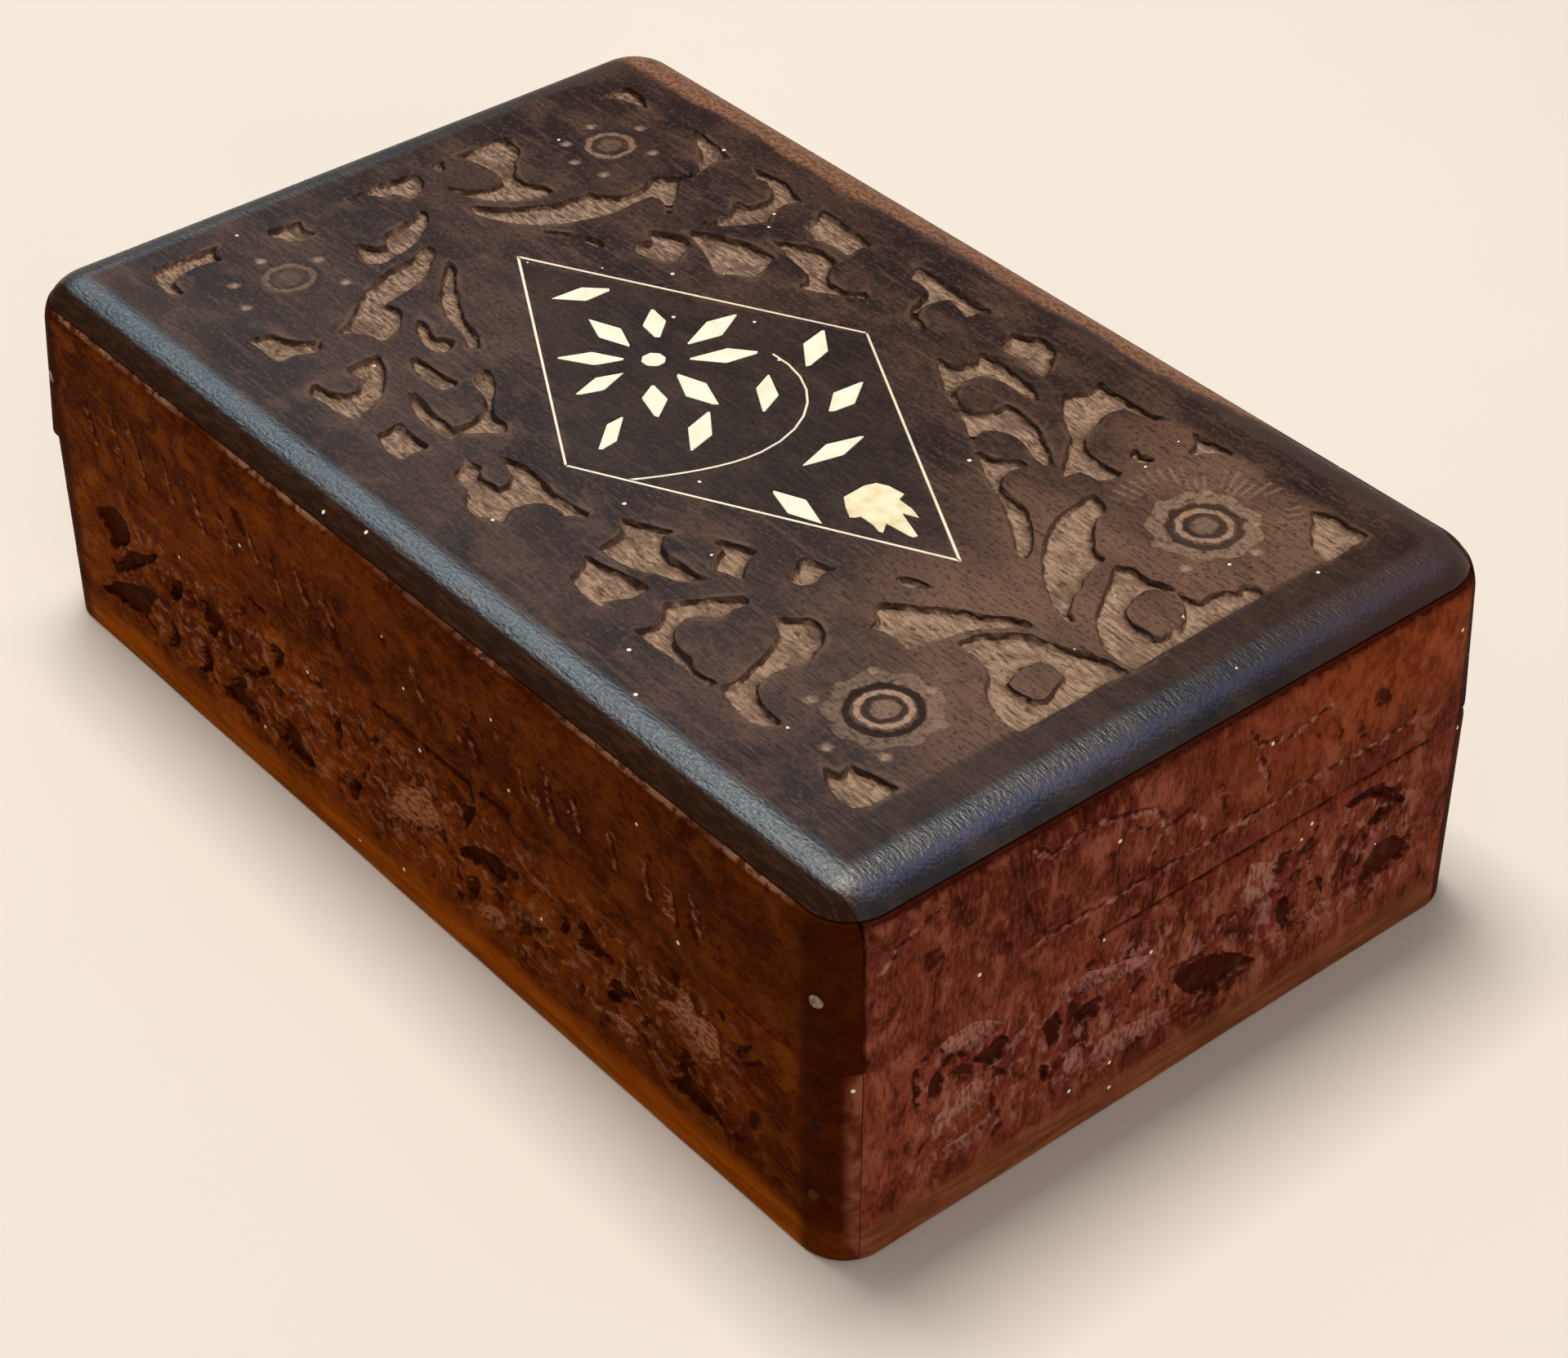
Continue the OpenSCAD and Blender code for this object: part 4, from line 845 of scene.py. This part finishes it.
class Finish:
    """A node material under construction."""

    def __init__(self, name):
        self.material = bpy.data.materials.new(name)
        self.material.use_nodes = True
        self.tree = self.material.node_tree
        self.shader = self.tree.nodes["Principled BSDF"]
        self.place = self.add("TexCoord").outputs["Object"]

    def add(self, kind, *values, settings=None, **inputs):
        """A new node, with values for its first inputs in turn and for others by name."""
        node = self.tree.nodes.new("ShaderNode" + kind)
        for name, value in (settings or {}).items():
            setattr(node, name, value)
        for place, value in (*enumerate(values), *inputs.items()):
            self.set(node.inputs[place], value)
        return node

    def set(self, socket, value):
        value = getattr(value, "socket", value)
        if isinstance(value, bpy.types.NodeSocket):
            self.tree.links.new(value, socket)
        elif isinstance(value, tuple) and len(value) == 3 and socket.type == "RGBA":
            socket.default_value = (*value, 1)
        else:
            socket.default_value = value

    def term(self, node, output=0):
        return Term(self, node.outputs[output])

    def noise(self, size, stretch=(1, 1, 1), detail=3, shift=0, distort=0):
        """Noise from 0 to 1 with features of size millimetres, longer where stretch is more."""
        at = self.add("Mapping", Vector=self.place,
                      Scale=[1 / (MM * size * s) for s in stretch],
                      Location=(shift, shift * 0.7, shift * 0.3))
        return self.term(self.add("TexNoise", Vector=at.outputs[0], Scale=1.0,
                                  Detail=detail, Distortion=distort))

    def ramp(self, value, start, end, low=0, high=1):
        """value taken from start..end to low..high, and held there beyond."""
        return self.term(self.add("MapRange", value, start, end, low, high,
                                  settings={"interpolation_type": "SMOOTHSTEP"}))

    def math(self, operation, a, b=0.0):
        return self.term(self.add("Math", a, b, settings={"operation": operation}))

    def largest(self, value, *others):
        """The largest of some numbers."""
        for other in others:
            value = self.math("MAXIMUM", value, other)
        return value

    def vector(self, operation, a, b=(0, 0, 0)):
        return self.add("VectorMath", a, b, settings={"operation": operation})

    def mix(self, share, a, b):
        node = self.add("Mix", settings={"data_type": "RGBA"})
        for number, value in ((0, share), (6, a), (7, b)):
            self.set(node.inputs[number], value)
        return node.outputs[2]

    def coat(self, colour, *layers):
        """Lays colours over one another.

        A layer is (share, over), or (value, start, end, full, over) for a share that grows from
        0 to full while value goes from start to end."""
        for *share, over in layers:
            if len(share) > 1:
                value, start, end, full = share
                share = [self.ramp(value, start, end, 0, full)]
            colour = self.mix(share[0], colour, over)
        return colour

    def mark(self, name):
        return self.term(self.add("Attribute", settings={"attribute_name": name}), "Fac")

    def specks(self, colour):
        """Scatters a few specks of pale dust over a colour."""
        at = self.add("Mapping", Vector=self.place, Scale=[1 / (MM * 6)] * 3)
        cells = self.add("TexVoronoi", Vector=at.outputs[0], Scale=1.0)
        near = self.math("LESS_THAN", cells.outputs["Distance"], 0.042)
        return self.mix(near * 0.9, colour, (0.85, 0.8, 0.72))

    def ring(self, radius, middle, width):
        """1 where radius is at the middle of a ring of that width, 0 outside the ring."""
        return self.ramp(abs(radius - middle), width / 2 - 0.12, width / 2 + 0.12, 1, 0)

    def axis(self, name):
        """One coordinate in millimetres."""
        return self.term(self.add("SeparateXYZ", Vector=self.place), name) / MM

    def bump(self, *layers):
        """Bumps the shader's normal by (height, depth in millimetres) layers."""
        first, *others = [height * (depth * MM) for height, depth in layers]
        node = self.add("Bump", Height=sum(others, first), Distance=1.0, Strength=1.0)
        self.set(self.shader.inputs["Normal"], node.outputs[0])

    def end(self, colour, roughness, **inputs):
        self.set(self.shader.inputs["Base Color"], colour)
        self.set(self.shader.inputs["Roughness"], roughness)
        for name, value in inputs.items():
            self.set(self.shader.inputs[name.replace("_", " ")], value)
        return self.material


def shade(colour, share):
    """A darker colour of the same hue."""
    return tuple(c * share for c in colour)


def board_finish():
    f = Finish("ebonised_wood")
    x, y, height = (f.axis(name) for name in "XYZ")
    blotch = f.noise(13, (1.5, 1, 1), 5)
    patch = f.noise(4, (1.3, 1, 1), 4, 31)
    grain = f.noise(0.9, (9, 1, 4), 3, 3, 0.8)
    streak = f.noise(0.4, (7, 1, 3), 4, 53, 0.5)
    pores = f.noise(0.35, (6, 1, 3), 2, 11)
    fine = f.noise(0.45, (1.6, 1, 1), 3, 21)
    painted_shade_side = f.mark("painted_shade_side")
    rim = f.ramp(f.mark("rim"), 0.08, 0.6, 0, 0.9)
    # the polished top, worn brown towards the right, darker in the lozenge and along the right
    in_panel = f.ramp(abs(x), 66, 64.5) * f.ramp(abs(y), 38, 35.5)
    worn_side = (f.ramp(x, 22, 48) * f.ramp(blotch, 0.35, 0.6, 0.35, 0.9)
                 * f.ramp(y, -34, -6, 0.25, 1))
    lozenge = f.ramp(abs(x) / 40 + abs(y) / 21.7, 0.96, 1.0, 0.5, 0)
    top = f.coat(
        (0.018, 0.0095, 0.009),
        (blotch, 0.38, 0.66, 1, (0.05, 0.026, 0.02)),
        (patch, 0.46, 0.66, 0.6, (0.085, 0.045, 0.033)),
        (worn_side * in_panel, (0.16, 0.088, 0.058)),
        (grain, 0.5, 0.72, 0.45, (0.115, 0.064, 0.046)),
        (streak, 0.5, 0.36, 0.4, (0.016, 0.009, 0.008)),
        (fine, 0.54, 0.68, 0.5, (0.105, 0.06, 0.045)),
        (fine, 0.46, 0.34, 0.6, (0.014, 0.008, 0.007)),
        (pores, 0.55, 0.75, 0.6, (0.008, 0.006, 0.005)),
        (lozenge, (0.014, 0.01, 0.008)),
        (x, 64.6, 65.4, 0.45, (0.022, 0.012, 0.01)))
    # the carving: dark sides, and floors of bare wood with tool marks along the grain
    edge = f.mark("cut") + (f.noise(1.6, (2, 1, 1), 5, 13) - 0.5) * 1.3
    floor = f.ramp(edge, 0.14, 0.36)
    pit = f.noise(0.6, (3, 1, 1), 3, 5, 0.4)
    ground = f.coat(
        (0.115, 0.076, 0.056),
        (x, -45, 55, 1, (0.185, 0.118, 0.082)),
        (streak, 0.42, 0.62, 0.75, (0.36, 0.25, 0.18)),
        (fine, 0.5, 0.66, 0.45, (0.46, 0.32, 0.225)),
        (pit, 0.56, 0.66, 0.75, (0.05, 0.028, 0.02)),
        (patch, 0.52, 0.68, 0.55, (0.08, 0.05, 0.036)),
        # painted shade on the floors beside the cuts' sides that face the front and the left
        (f.ramp(edge, 0.2, 1.1, 0.65, 0) * painted_shade_side, (0.07, 0.038, 0.026)))
    # the rosettes' rings, the dark grooves painted with shade, and the hatching of the petals round them
    rub, dark_rings_and_groove_shade = f.mark("rub"), 0.0
    level = f.vector("MULTIPLY", f.place, (1 / MM, 1 / MM, 0))
    ragged = (f.noise(1.3, (1, 1, 1), 2, 17) - 0.5) * 0.9
    spread = f.ramp(f.noise(5, (1, 1, 1), 2, 23), 0.45, 0.55)
    frayed = f.ramp(f.noise(0.8, (1, 1, 1), 3, 71), 0.28, 0.52)
    for (cx, cy), dark, pale, halo, hatch, _ in ROSETTES:
        away = f.vector("SUBTRACT", level.outputs[0], (cx, cy, 0)).outputs[0]
        r = f.term(f.vector("LENGTH", away), "Value") + ragged
        rub = f.largest(rub, f.ring(r, *PALE_RING) * pale, f.ramp(r, 1.3, 1.7, 0.4 * pale, 0))
        # painted shade in the groove round the eye, and a dark ring inside the pale one
        dark_rings_and_groove_shade = f.largest(dark_rings_and_groove_shade, f.ring(r, *DARK_RING) * dark,
                                 f.ring(r, 2.0, 0.6) * (0.8 * dark))
        if halo > 0.2:
            parts = f.add("SeparateXYZ", Vector=away)
            angle = f.math("ARCTAN2", parts.outputs["Y"], parts.outputs["X"])
            scallop = f.math("SINE", angle * 9) * 0.3
            lines = (f.ramp(f.math("SINE", angle * HATCH_LINES), -0.2, 0.9) * f.ring(r, *HATCH)
                     * f.ramp(f.math("COSINE", angle - HATCH_FACING), 0.0, 0.5) * (spread * hatch))
            rub = f.largest(rub, f.ring(r + scallop, *HALO) * frayed * (0.8 * halo), lines * 0.6)
    upper = f.ramp(height, 46.5, 47)
    rub, dark_rings_and_groove_shade = rub * upper, dark_rings_and_groove_shade * upper
    # all of it together, with the black rim, the edge under it, the back edge and the inside
    worn = f.ramp(abs(edge + 0.3), 0.1, 0.4, 1, 0) * f.ramp(patch, 0.45, 0.65, 0, 0.5)
    black = f.coat(
        (0.008, 0.007, 0.008), (patch, 0.4, 0.75, 1, (0.03, 0.02, 0.017)),
        (y, 0, 40, 0.8, (0.046, 0.023, 0.018)))
    # painted reflection: the lower part of the rounded front and back edges is painted brown in place of a
    # reflection, with its gloss turned down
    under = f.ramp(height, 48.5, 48.05) * f.ramp(abs(y), 43.8, 44.3)
    painted_reflection_brown = f.coat((0.02, 0.0095, 0.006), (streak, 0.4, 0.7, 1, (0.042, 0.018, 0.01)))
    # the back edge is worn through to brown wood, less so towards the right
    reach = (x * 0.016 + f.ramp(x, 26, 66, 0, 7)
             + f.ramp(f.noise(6, (2.5, 1, 1), 5, 9), 0.25, 0.75, 40.6, 42.0))
    bare_wood = f.coat((0.105, 0.045, 0.023), (fine, 0.35, 0.65, 1, (0.26, 0.125, 0.068)))
    inside = f.ramp(height, 44.7, 44.3)
    inside_wood = f.coat((0.085, 0.03, 0.012), (grain, 0.35, 0.7, 1, (0.19, 0.08, 0.036)))
    colour = f.coat(
        top,
        (rub * f.ramp(fine, 0.3, 0.6, 0.45, 1), (0.34, 0.23, 0.165)),
        # painted shade in the rosettes' grooves, and the dark ring inside the pale one
        (dark_rings_and_groove_shade, (0.02, 0.012, 0.009)),
        (worn, (0.12, 0.07, 0.05)),
        # the cuts' sides, with painted shade on those that face the front and the left
        (edge, -0.06, 0.08, 1, f.mix(painted_shade_side, (0.105, 0.06, 0.042), (0.026, 0.013, 0.009))),
        (floor, ground),
        (rim, black),
        # the painted brown reflection on the lower part of the rounded edge
        (under, painted_reflection_brown),
        (f.ramp(y - reach, -0.2, 0.9) * 0.9, bare_wood),
        (inside, inside_wood))
    scratch = f.noise(0.25, (16, 1, 1), 3, 37)
    grit = f.noise(0.4, (1.6, 1, 1), 4, 61)
    gloss = f.coat(
        f.ramp(fine, 0.2, 0.8, 0.42, 0.6),
        (floor, (0.85, 0.85, 0.85)),
        (rim, f.ramp(scratch, 0.35, 0.65, 0.25, 0.42)),
        (f.largest(dark_rings_and_groove_shade, inside), (0.8, 0.8, 0.8)))
    f.bump((grain, 0.04), (streak, 0.05), (pores, 0.04), (rub, 0.06), (dark_rings_and_groove_shade, -0.1),
           (fine * floor, 0.05), (pit * floor, -0.12), (scratch * rim, 0.035), (grit * rim, 0.13),
           (f.ramp(edge, -0.1, 0.3), -0.12))
    shine = (f.ramp(rim, 0, 1, 0.1, 0.5) * f.ramp(under, 0, 1, 1, 0.02)
             * f.ramp(inside, 0, 1, 1, 0.1) * f.ramp(y, 40, -30, 0.35, 1))
    return f.end(f.specks(colour), gloss, Specular_IOR_Level=shine)


def wall_finish(name, along, dark, mid, light, floor, foot, tint):
    """Waxed carved wood with its grain along x where along is 0, and along y where it is 1."""
    f = Finish(name)

    def stretched(k, end=(1, 1, 1)):
        """The stretch of a noise that is drawn out k times on the front, and as end on the end."""
        return end if along else (k, 1, 1)

    x, y, z = (f.axis(name) for name in "XYZ")
    across = abs(y if along else x)
    in_lid = f.math("GREATER_THAN", z, SEAM_Z)
    deep = shade(dark, 0.3)
    blotch = f.noise(12, stretched(1.6, (1, 1.6, 1)), 4)
    patch = f.noise(3.6, stretched(1.3, (1, 1, 1.7)), 5, 29, 0.8)
    chip = f.noise(1.2, stretched(1.3, (1, 1, 1.6)), 4, 19, 0.5)
    grain = f.noise(0.9, stretched(10, (1, 10, 1)), 4, 3, 0.5)
    fine = f.noise(0.45, stretched(2, (1, 1, 2.5)), 3, 7)
    ragged = f.noise(0.9, stretched(1.5, (1, 1.5, 1)), 4, 41) - 0.5
    colour = f.coat(dark, (blotch, 0.36, 0.64, 1, mid), (grain, 0.5, 0.75, 0.35, light))
    if along:
        colour = f.mix(in_lid * 0.3, colour, deep)
    # the band of the carving, rubbed and chipped
    uneven, band_end = (0.7, 39) if along else (0.6, 62)
    in_band = (f.ramp(z, 6, 9) * f.ramp(z, 25, 22) * f.ramp(f.mark("outer"), 0.9, 1.0)
               * f.ramp(across, band_end, band_end - 3))
    colour = f.coat(
        colour,
        (patch, 0.5, 0.66, uneven, light),
        (patch, 0.47, 0.34, uneven, deep),
        (in_band * f.ramp(chip, 0.47, 0.36, 0, 0.55), floor),
        (fine, 0.5, 0.66, 0.3, light),
        (chip, 0.54, 0.7, 0.45, deep),
        (fine, 0.46, 0.34, 0.45, deep))
    if along:
        glow = f.ramp(y, -8, 28) * f.ramp(z, 28, 38, 0, 0.6)
        amber = f.coat((0.17, 0.032, 0.007), (chip, 0.35, 0.65, 1, (0.33, 0.078, 0.02)))
        colour = f.mix(glow, colour, amber)
    else:
        colour = f.coat(colour, (x, -30, 65, 0.35, deep), (in_lid * 0.25, deep))
    # the foot, the cuts, the dark line under the board and the worn edges
    foot_wood = f.coat(shade(foot, 0.6), (grain, 0.35, 0.65, 1, foot))
    lit_bare_flake = f.coat(floor, (fine, 0.4, 0.65, 1, mid))
    colour = f.coat(
        colour,
        (z, 6, 2.5, 0.8, foot_wood),
        # painted shadow in the cuts and knife lines
        (f.mark("cut") + ragged * 1.6, 1.9, 2.3, 0.85, deep),
        # the pale flakes: bare wood painted with highlight
        (f.mark("pale") + ragged * -2.2, 1.9, 2.5, 0.9, lit_bare_flake),
        # painted shadow just under the board
        (z, 44.8, 45.9, 0.6, deep),
        (f.mark("wear") * f.ramp(chip, 0.6, 0.45, 0.1, 1), (0.2, 0.095, 0.055)))
    if along:
        colour = f.mix(f.ramp(across, 42.2, 43.0, 0, 0.85) * f.ramp(y, -1, 1), colour, deep)
    else:
        # the skin's ends, dark in the lid and worn like the end walls round the tray's corners
        rubbed = f.ramp(across, 74.3, 75.4) * f.math("SUBTRACT", 1.0, in_lid)
        red = f.coat((0.09, 0.018, 0.008), (patch, 0.35, 0.65, 1, (0.235, 0.075, 0.042)))
        colour = f.coat(colour, (across, INNER_W, INNER_W + 2, 0.7, deep), (rubbed * 0.9, red))
    f.bump((grain, 0.05), (fine, 0.08), (chip, 0.25), (patch, 0.15))
    return f.end(f.specks(colour), f.ramp(fine, 0.2, 0.8, 0.4, 0.65), Specular_IOR_Level=0.004,
                 Specular_Tint=(*tint, 1))


def plain_wood_finish():
    f = Finish("bottom_wood")
    grain = f.noise(1.4, (14, 1, 1), 4, 3, 0.4)
    fine = f.noise(0.4, (8, 1, 1), 2, 7)
    colour = f.coat(
        (0.3, 0.17, 0.09), (grain, 0.3, 0.75, 1, (0.46, 0.29, 0.17)),
        (fine, 0.56, 0.74, 0.5, (0.16, 0.08, 0.04)))
    f.bump((grain, 0.08), (fine, 0.06))
    return f.end(colour, f.ramp(fine, 0.2, 0.8, 0.55, 0.75))


def bone_finish(name, light, dark):
    f = Finish(name)
    cloud = f.noise(2.2, (1, 1, 1), 3)
    line = f.noise(0.35, (1, 6, 1), 3, 5)
    colour = f.coat(light, (cloud, 0.35, 0.7, 1, dark), (line, 0.6, 0.78, 0.5, shade(dark, 0.55)))
    f.bump((line, 0.03), (cloud, 0.08))
    return f.end(colour, f.ramp(line, 0.2, 0.8, 0.28, 0.5))


def brass_finish(name, bright, dull, size, roughness, metal=1.0):
    """Brass with clouds of the given size, its roughness from one number to another."""
    f = Finish(name)
    cloud = f.noise(size, (1, 1, 1), 4)
    scratch = f.noise(0.3, (12, 1, 1), 2, 5)
    f.bump((scratch, 0.015), (cloud, 0.04))
    return f.end(f.coat(bright, (cloud, 0.35, 0.7, 1, dull)), f.ramp(cloud, 0.3, 0.7, *roughness),
                 Metallic=metal, Specular_IOR_Level=0.5 if metal else 0.05)


def velvet_finish():
    f = Finish("velvet")
    nap = f.noise(9, (1, 1.5, 1), 4)
    pile = f.noise(0.25, (1, 1, 1), 2, 5)
    colour = f.coat(
        (0.085, 0.006, 0.012), (nap, 0.35, 0.7, 1, (0.165, 0.013, 0.024)),
        (pile, 0.35, 0.65, 0.5, (0.05, 0.003, 0.007)))
    f.bump((pile, 0.1), (nap, 0.2))
    return f.end(colour, 0.9, Sheen_Weight=0.8, Sheen_Roughness=0.35,
                 Sheen_Tint=(0.9, 0.25, 0.3, 1))


FINISHES = {
    "ebonised_wood": board_finish(),
    "long_wall_wood": wall_finish(
        "long_wall_wood", 0, dark=(0.085, 0.013, 0.0008), mid=(0.165, 0.031, 0.002),
        light=(0.265, 0.066, 0.006), floor=(0.33, 0.145, 0.075), foot=(0.4, 0.09, 0.003),
        tint=(1.0, 0.45, 0.22)),
    "end_wall_wood": wall_finish(
        "end_wall_wood", 1, dark=(0.098, 0.017, 0.008), mid=(0.18, 0.038, 0.02),
        light=(0.28, 0.085, 0.05), floor=(0.33, 0.16, 0.13), foot=(0.27, 0.092, 0.04),
        tint=(1.0, 0.5, 0.38)),
    "bottom_wood": plain_wood_finish(),
    "bone": bone_finish("bone", (0.9, 0.87, 0.74), (0.8, 0.75, 0.6)),
    "palm": bone_finish("palm_bone", (0.86, 0.8, 0.57), (0.67, 0.58, 0.35)),
    "brass_wire": brass_finish("brass_wire", (0.93, 0.86, 0.68), (0.74, 0.63, 0.42), 4,
                               (0.3, 0.5), 0.5),
    "hinge_brass": brass_finish("hinge_brass", (0.72, 0.53, 0.24), (0.34, 0.22, 0.1), 5,
                                (0.3, 0.55)),
    "nail_brass": brass_finish("nail_brass", (0.06, 0.022, 0.008), (0.02, 0.006, 0.003), 1.2,
                               (0.6, 0.9), 0.0),
    "lid_nail": brass_finish("lid_nail_brass", (0.34, 0.24, 0.15), (0.1, 0.06, 0.035), 0.8,
                             (0.4, 0.7), 0.4),
    "velvet": velvet_finish(),
}


def dress(obj, slot, body, finish=None):
    """Gives an object the material for its slot in the record, or the finish named, and the body that it moves
    with.
    """
    obj.data.materials.clear()
    obj.data.materials.append(FINISHES[finish or slot])
    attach(obj, body)


# ---- pieces ----
SLOTS = {s["node"]: s["material_slot"] for s in frame["record"]["subparts"]}
lid_board = board()
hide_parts("lid_top_panel")
dress(lid_board, "ebonised_wood", "lid")

for inlaid in inlay_nodes("bone") + inlay_nodes("brass_wire"):
    piece = inlay(inlaid, *((0.03, 0.06) if SLOTS[inlaid] == "brass_wire" else (-0.01,)))
    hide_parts(inlaid)
    dress(piece, SLOTS[inlaid], "lid", "palm" if inlaid == "palm_leaf" else None)

# each wall's place, the axis that it runs along and the sign of its place on the other one
PLACES = (("front", 0, -1), ("back", 0, 1), ("right", 1, 1), ("left", 1, -1))
for number, (body, (place, axis, side)) in enumerate(itertools.product(("base", "lid"), PLACES)):
    node = f"{body}_{place}_wall"
    piece = wall(body, place, axis, side, 10 * number)
    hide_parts(node)
    if place == "back":
        cut_away(piece, hinge_seats(1 if body == "lid" else -1))
    dress(piece, SLOTS[node], body)

velvet = lining()
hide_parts("base_lining")
dress(velvet, "velvet", "base")

dress(corner_nails("base_corner_nails", "tray_nails", (9, 19)), "nail_brass", "base")
dress(corner_nails("lid_corner_nails", "lid_nails", (36,)), "nail_brass", "lid", "lid_nail")

for node, slot in SLOTS.items():
    for holder in frame["nodes"][node].material_slots:
        holder.material = FINISHES[slot]

# ---- floor, light and camera ----
bpy.ops.mesh.primitive_plane_add(size=4)
floor = bpy.context.object
floor.name = "floor"
paper = Finish("floor_paper")
paper.bump((paper.noise(1.5), 0.01))
floor.data.materials.append(paper.end(
    paper.mix(paper.noise(60), (0.74, 0.72, 0.69), (0.77, 0.75, 0.72)), 0.85))

LAMP_DISTANCE = 0.9      # of every lamp from the box's middle, in metres


def stance(at, across, upward, back):
    """The matrix of something at a point in metres that looks along minus back."""
    turn = Matrix((across, upward, back)).transposed().to_4x4()
    return Matrix.Translation(at) @ turn


def lamp(name, towards, along, size, power, colour, lights=True, shines=True):
    """A soft rectangular light that faces the box from a direction, its length along an axis.

    It lights matt surfaces, shines on glossy ones, or both."""
    light = bpy.data.lights.new(name, "AREA")
    light.shape = "RECTANGLE"
    light.size, light.size_y = size
    light.energy, light.color = power, colour
    towards, along = Vector(towards).normalized(), Vector(along)
    along = (along - along.dot(towards) * towards).normalized()
    obj = add_object(name, light)
    obj.matrix_world = stance(Vector((0, 0, TOP_Z / 2)) * MM + towards * LAMP_DISTANCE,
                              along, towards.cross(along), towards)
    obj.visible_diffuse, obj.visible_glossy = lights, shines


X, Y = (1, 0, 0), (0, 1, 0)
lamp("key", (-0.2, 0.05, 1.0), X, (0.35, 0.35), 8.0, (1.0, 0.91, 0.8))
lamp("fill", (0.9, -0.25, 0.35), Y, (0.5, 0.4), 2.0, (1.0, 0.86, 0.72), shines=False)
lamp("front_window", (-0.6, 0.13, 0.79), X, (0.6, 0.3), 4.4, (0.6, 0.85, 1.0), lights=False)
lamp("end_window", (0.24, 0.5, 0.83), Y, (0.6, 0.36), 3.0, (0.36, 0.5, 1.0), lights=False)

world = bpy.data.worlds.new("studio")
world.use_nodes = True
background = world.node_tree.nodes["Background"]
background.inputs["Color"].default_value = (1.0, 0.93, 0.84, 1)
background.inputs["Strength"].default_value = 0.27
bpy.context.scene.world = world
bpy.context.scene.view_settings.view_transform = "Standard"

# the camera stands where the photographer did, by the box's own corners
AZIMUTH, ELEVATION, ROLL = math.radians(50.2255), math.radians(38.1943), math.radians(-0.0714)
DISTANCE, LENS, SENSOR = 420.489, 81.69, 36
MIDDLE_Z = 24.468                        # of the box, from which the aim is set off
AIM_ACROSS, AIM_UP = 6.7076, -12.4228
back = Vector((math.sin(AZIMUTH) * math.cos(ELEVATION), -math.cos(AZIMUTH) * math.cos(ELEVATION),
               math.sin(ELEVATION)))
right = Vector((math.cos(AZIMUTH), math.sin(AZIMUTH), 0))
up = back.cross(right)
across = math.cos(ROLL) * right + math.sin(ROLL) * up
upward = math.cos(ROLL) * up - math.sin(ROLL) * right
aim = Vector((0, 0, MIDDLE_Z)) + AIM_ACROSS * across + AIM_UP * upward
camera = add_object("camera", bpy.data.cameras.new("camera"))
camera.data.lens = LENS
camera.data.sensor_width = SENSOR
camera.data.clip_start = 0.01
camera.matrix_world = stance((aim + DISTANCE * back) * MM, across, upward, back)
bpy.context.scene.camera = camera
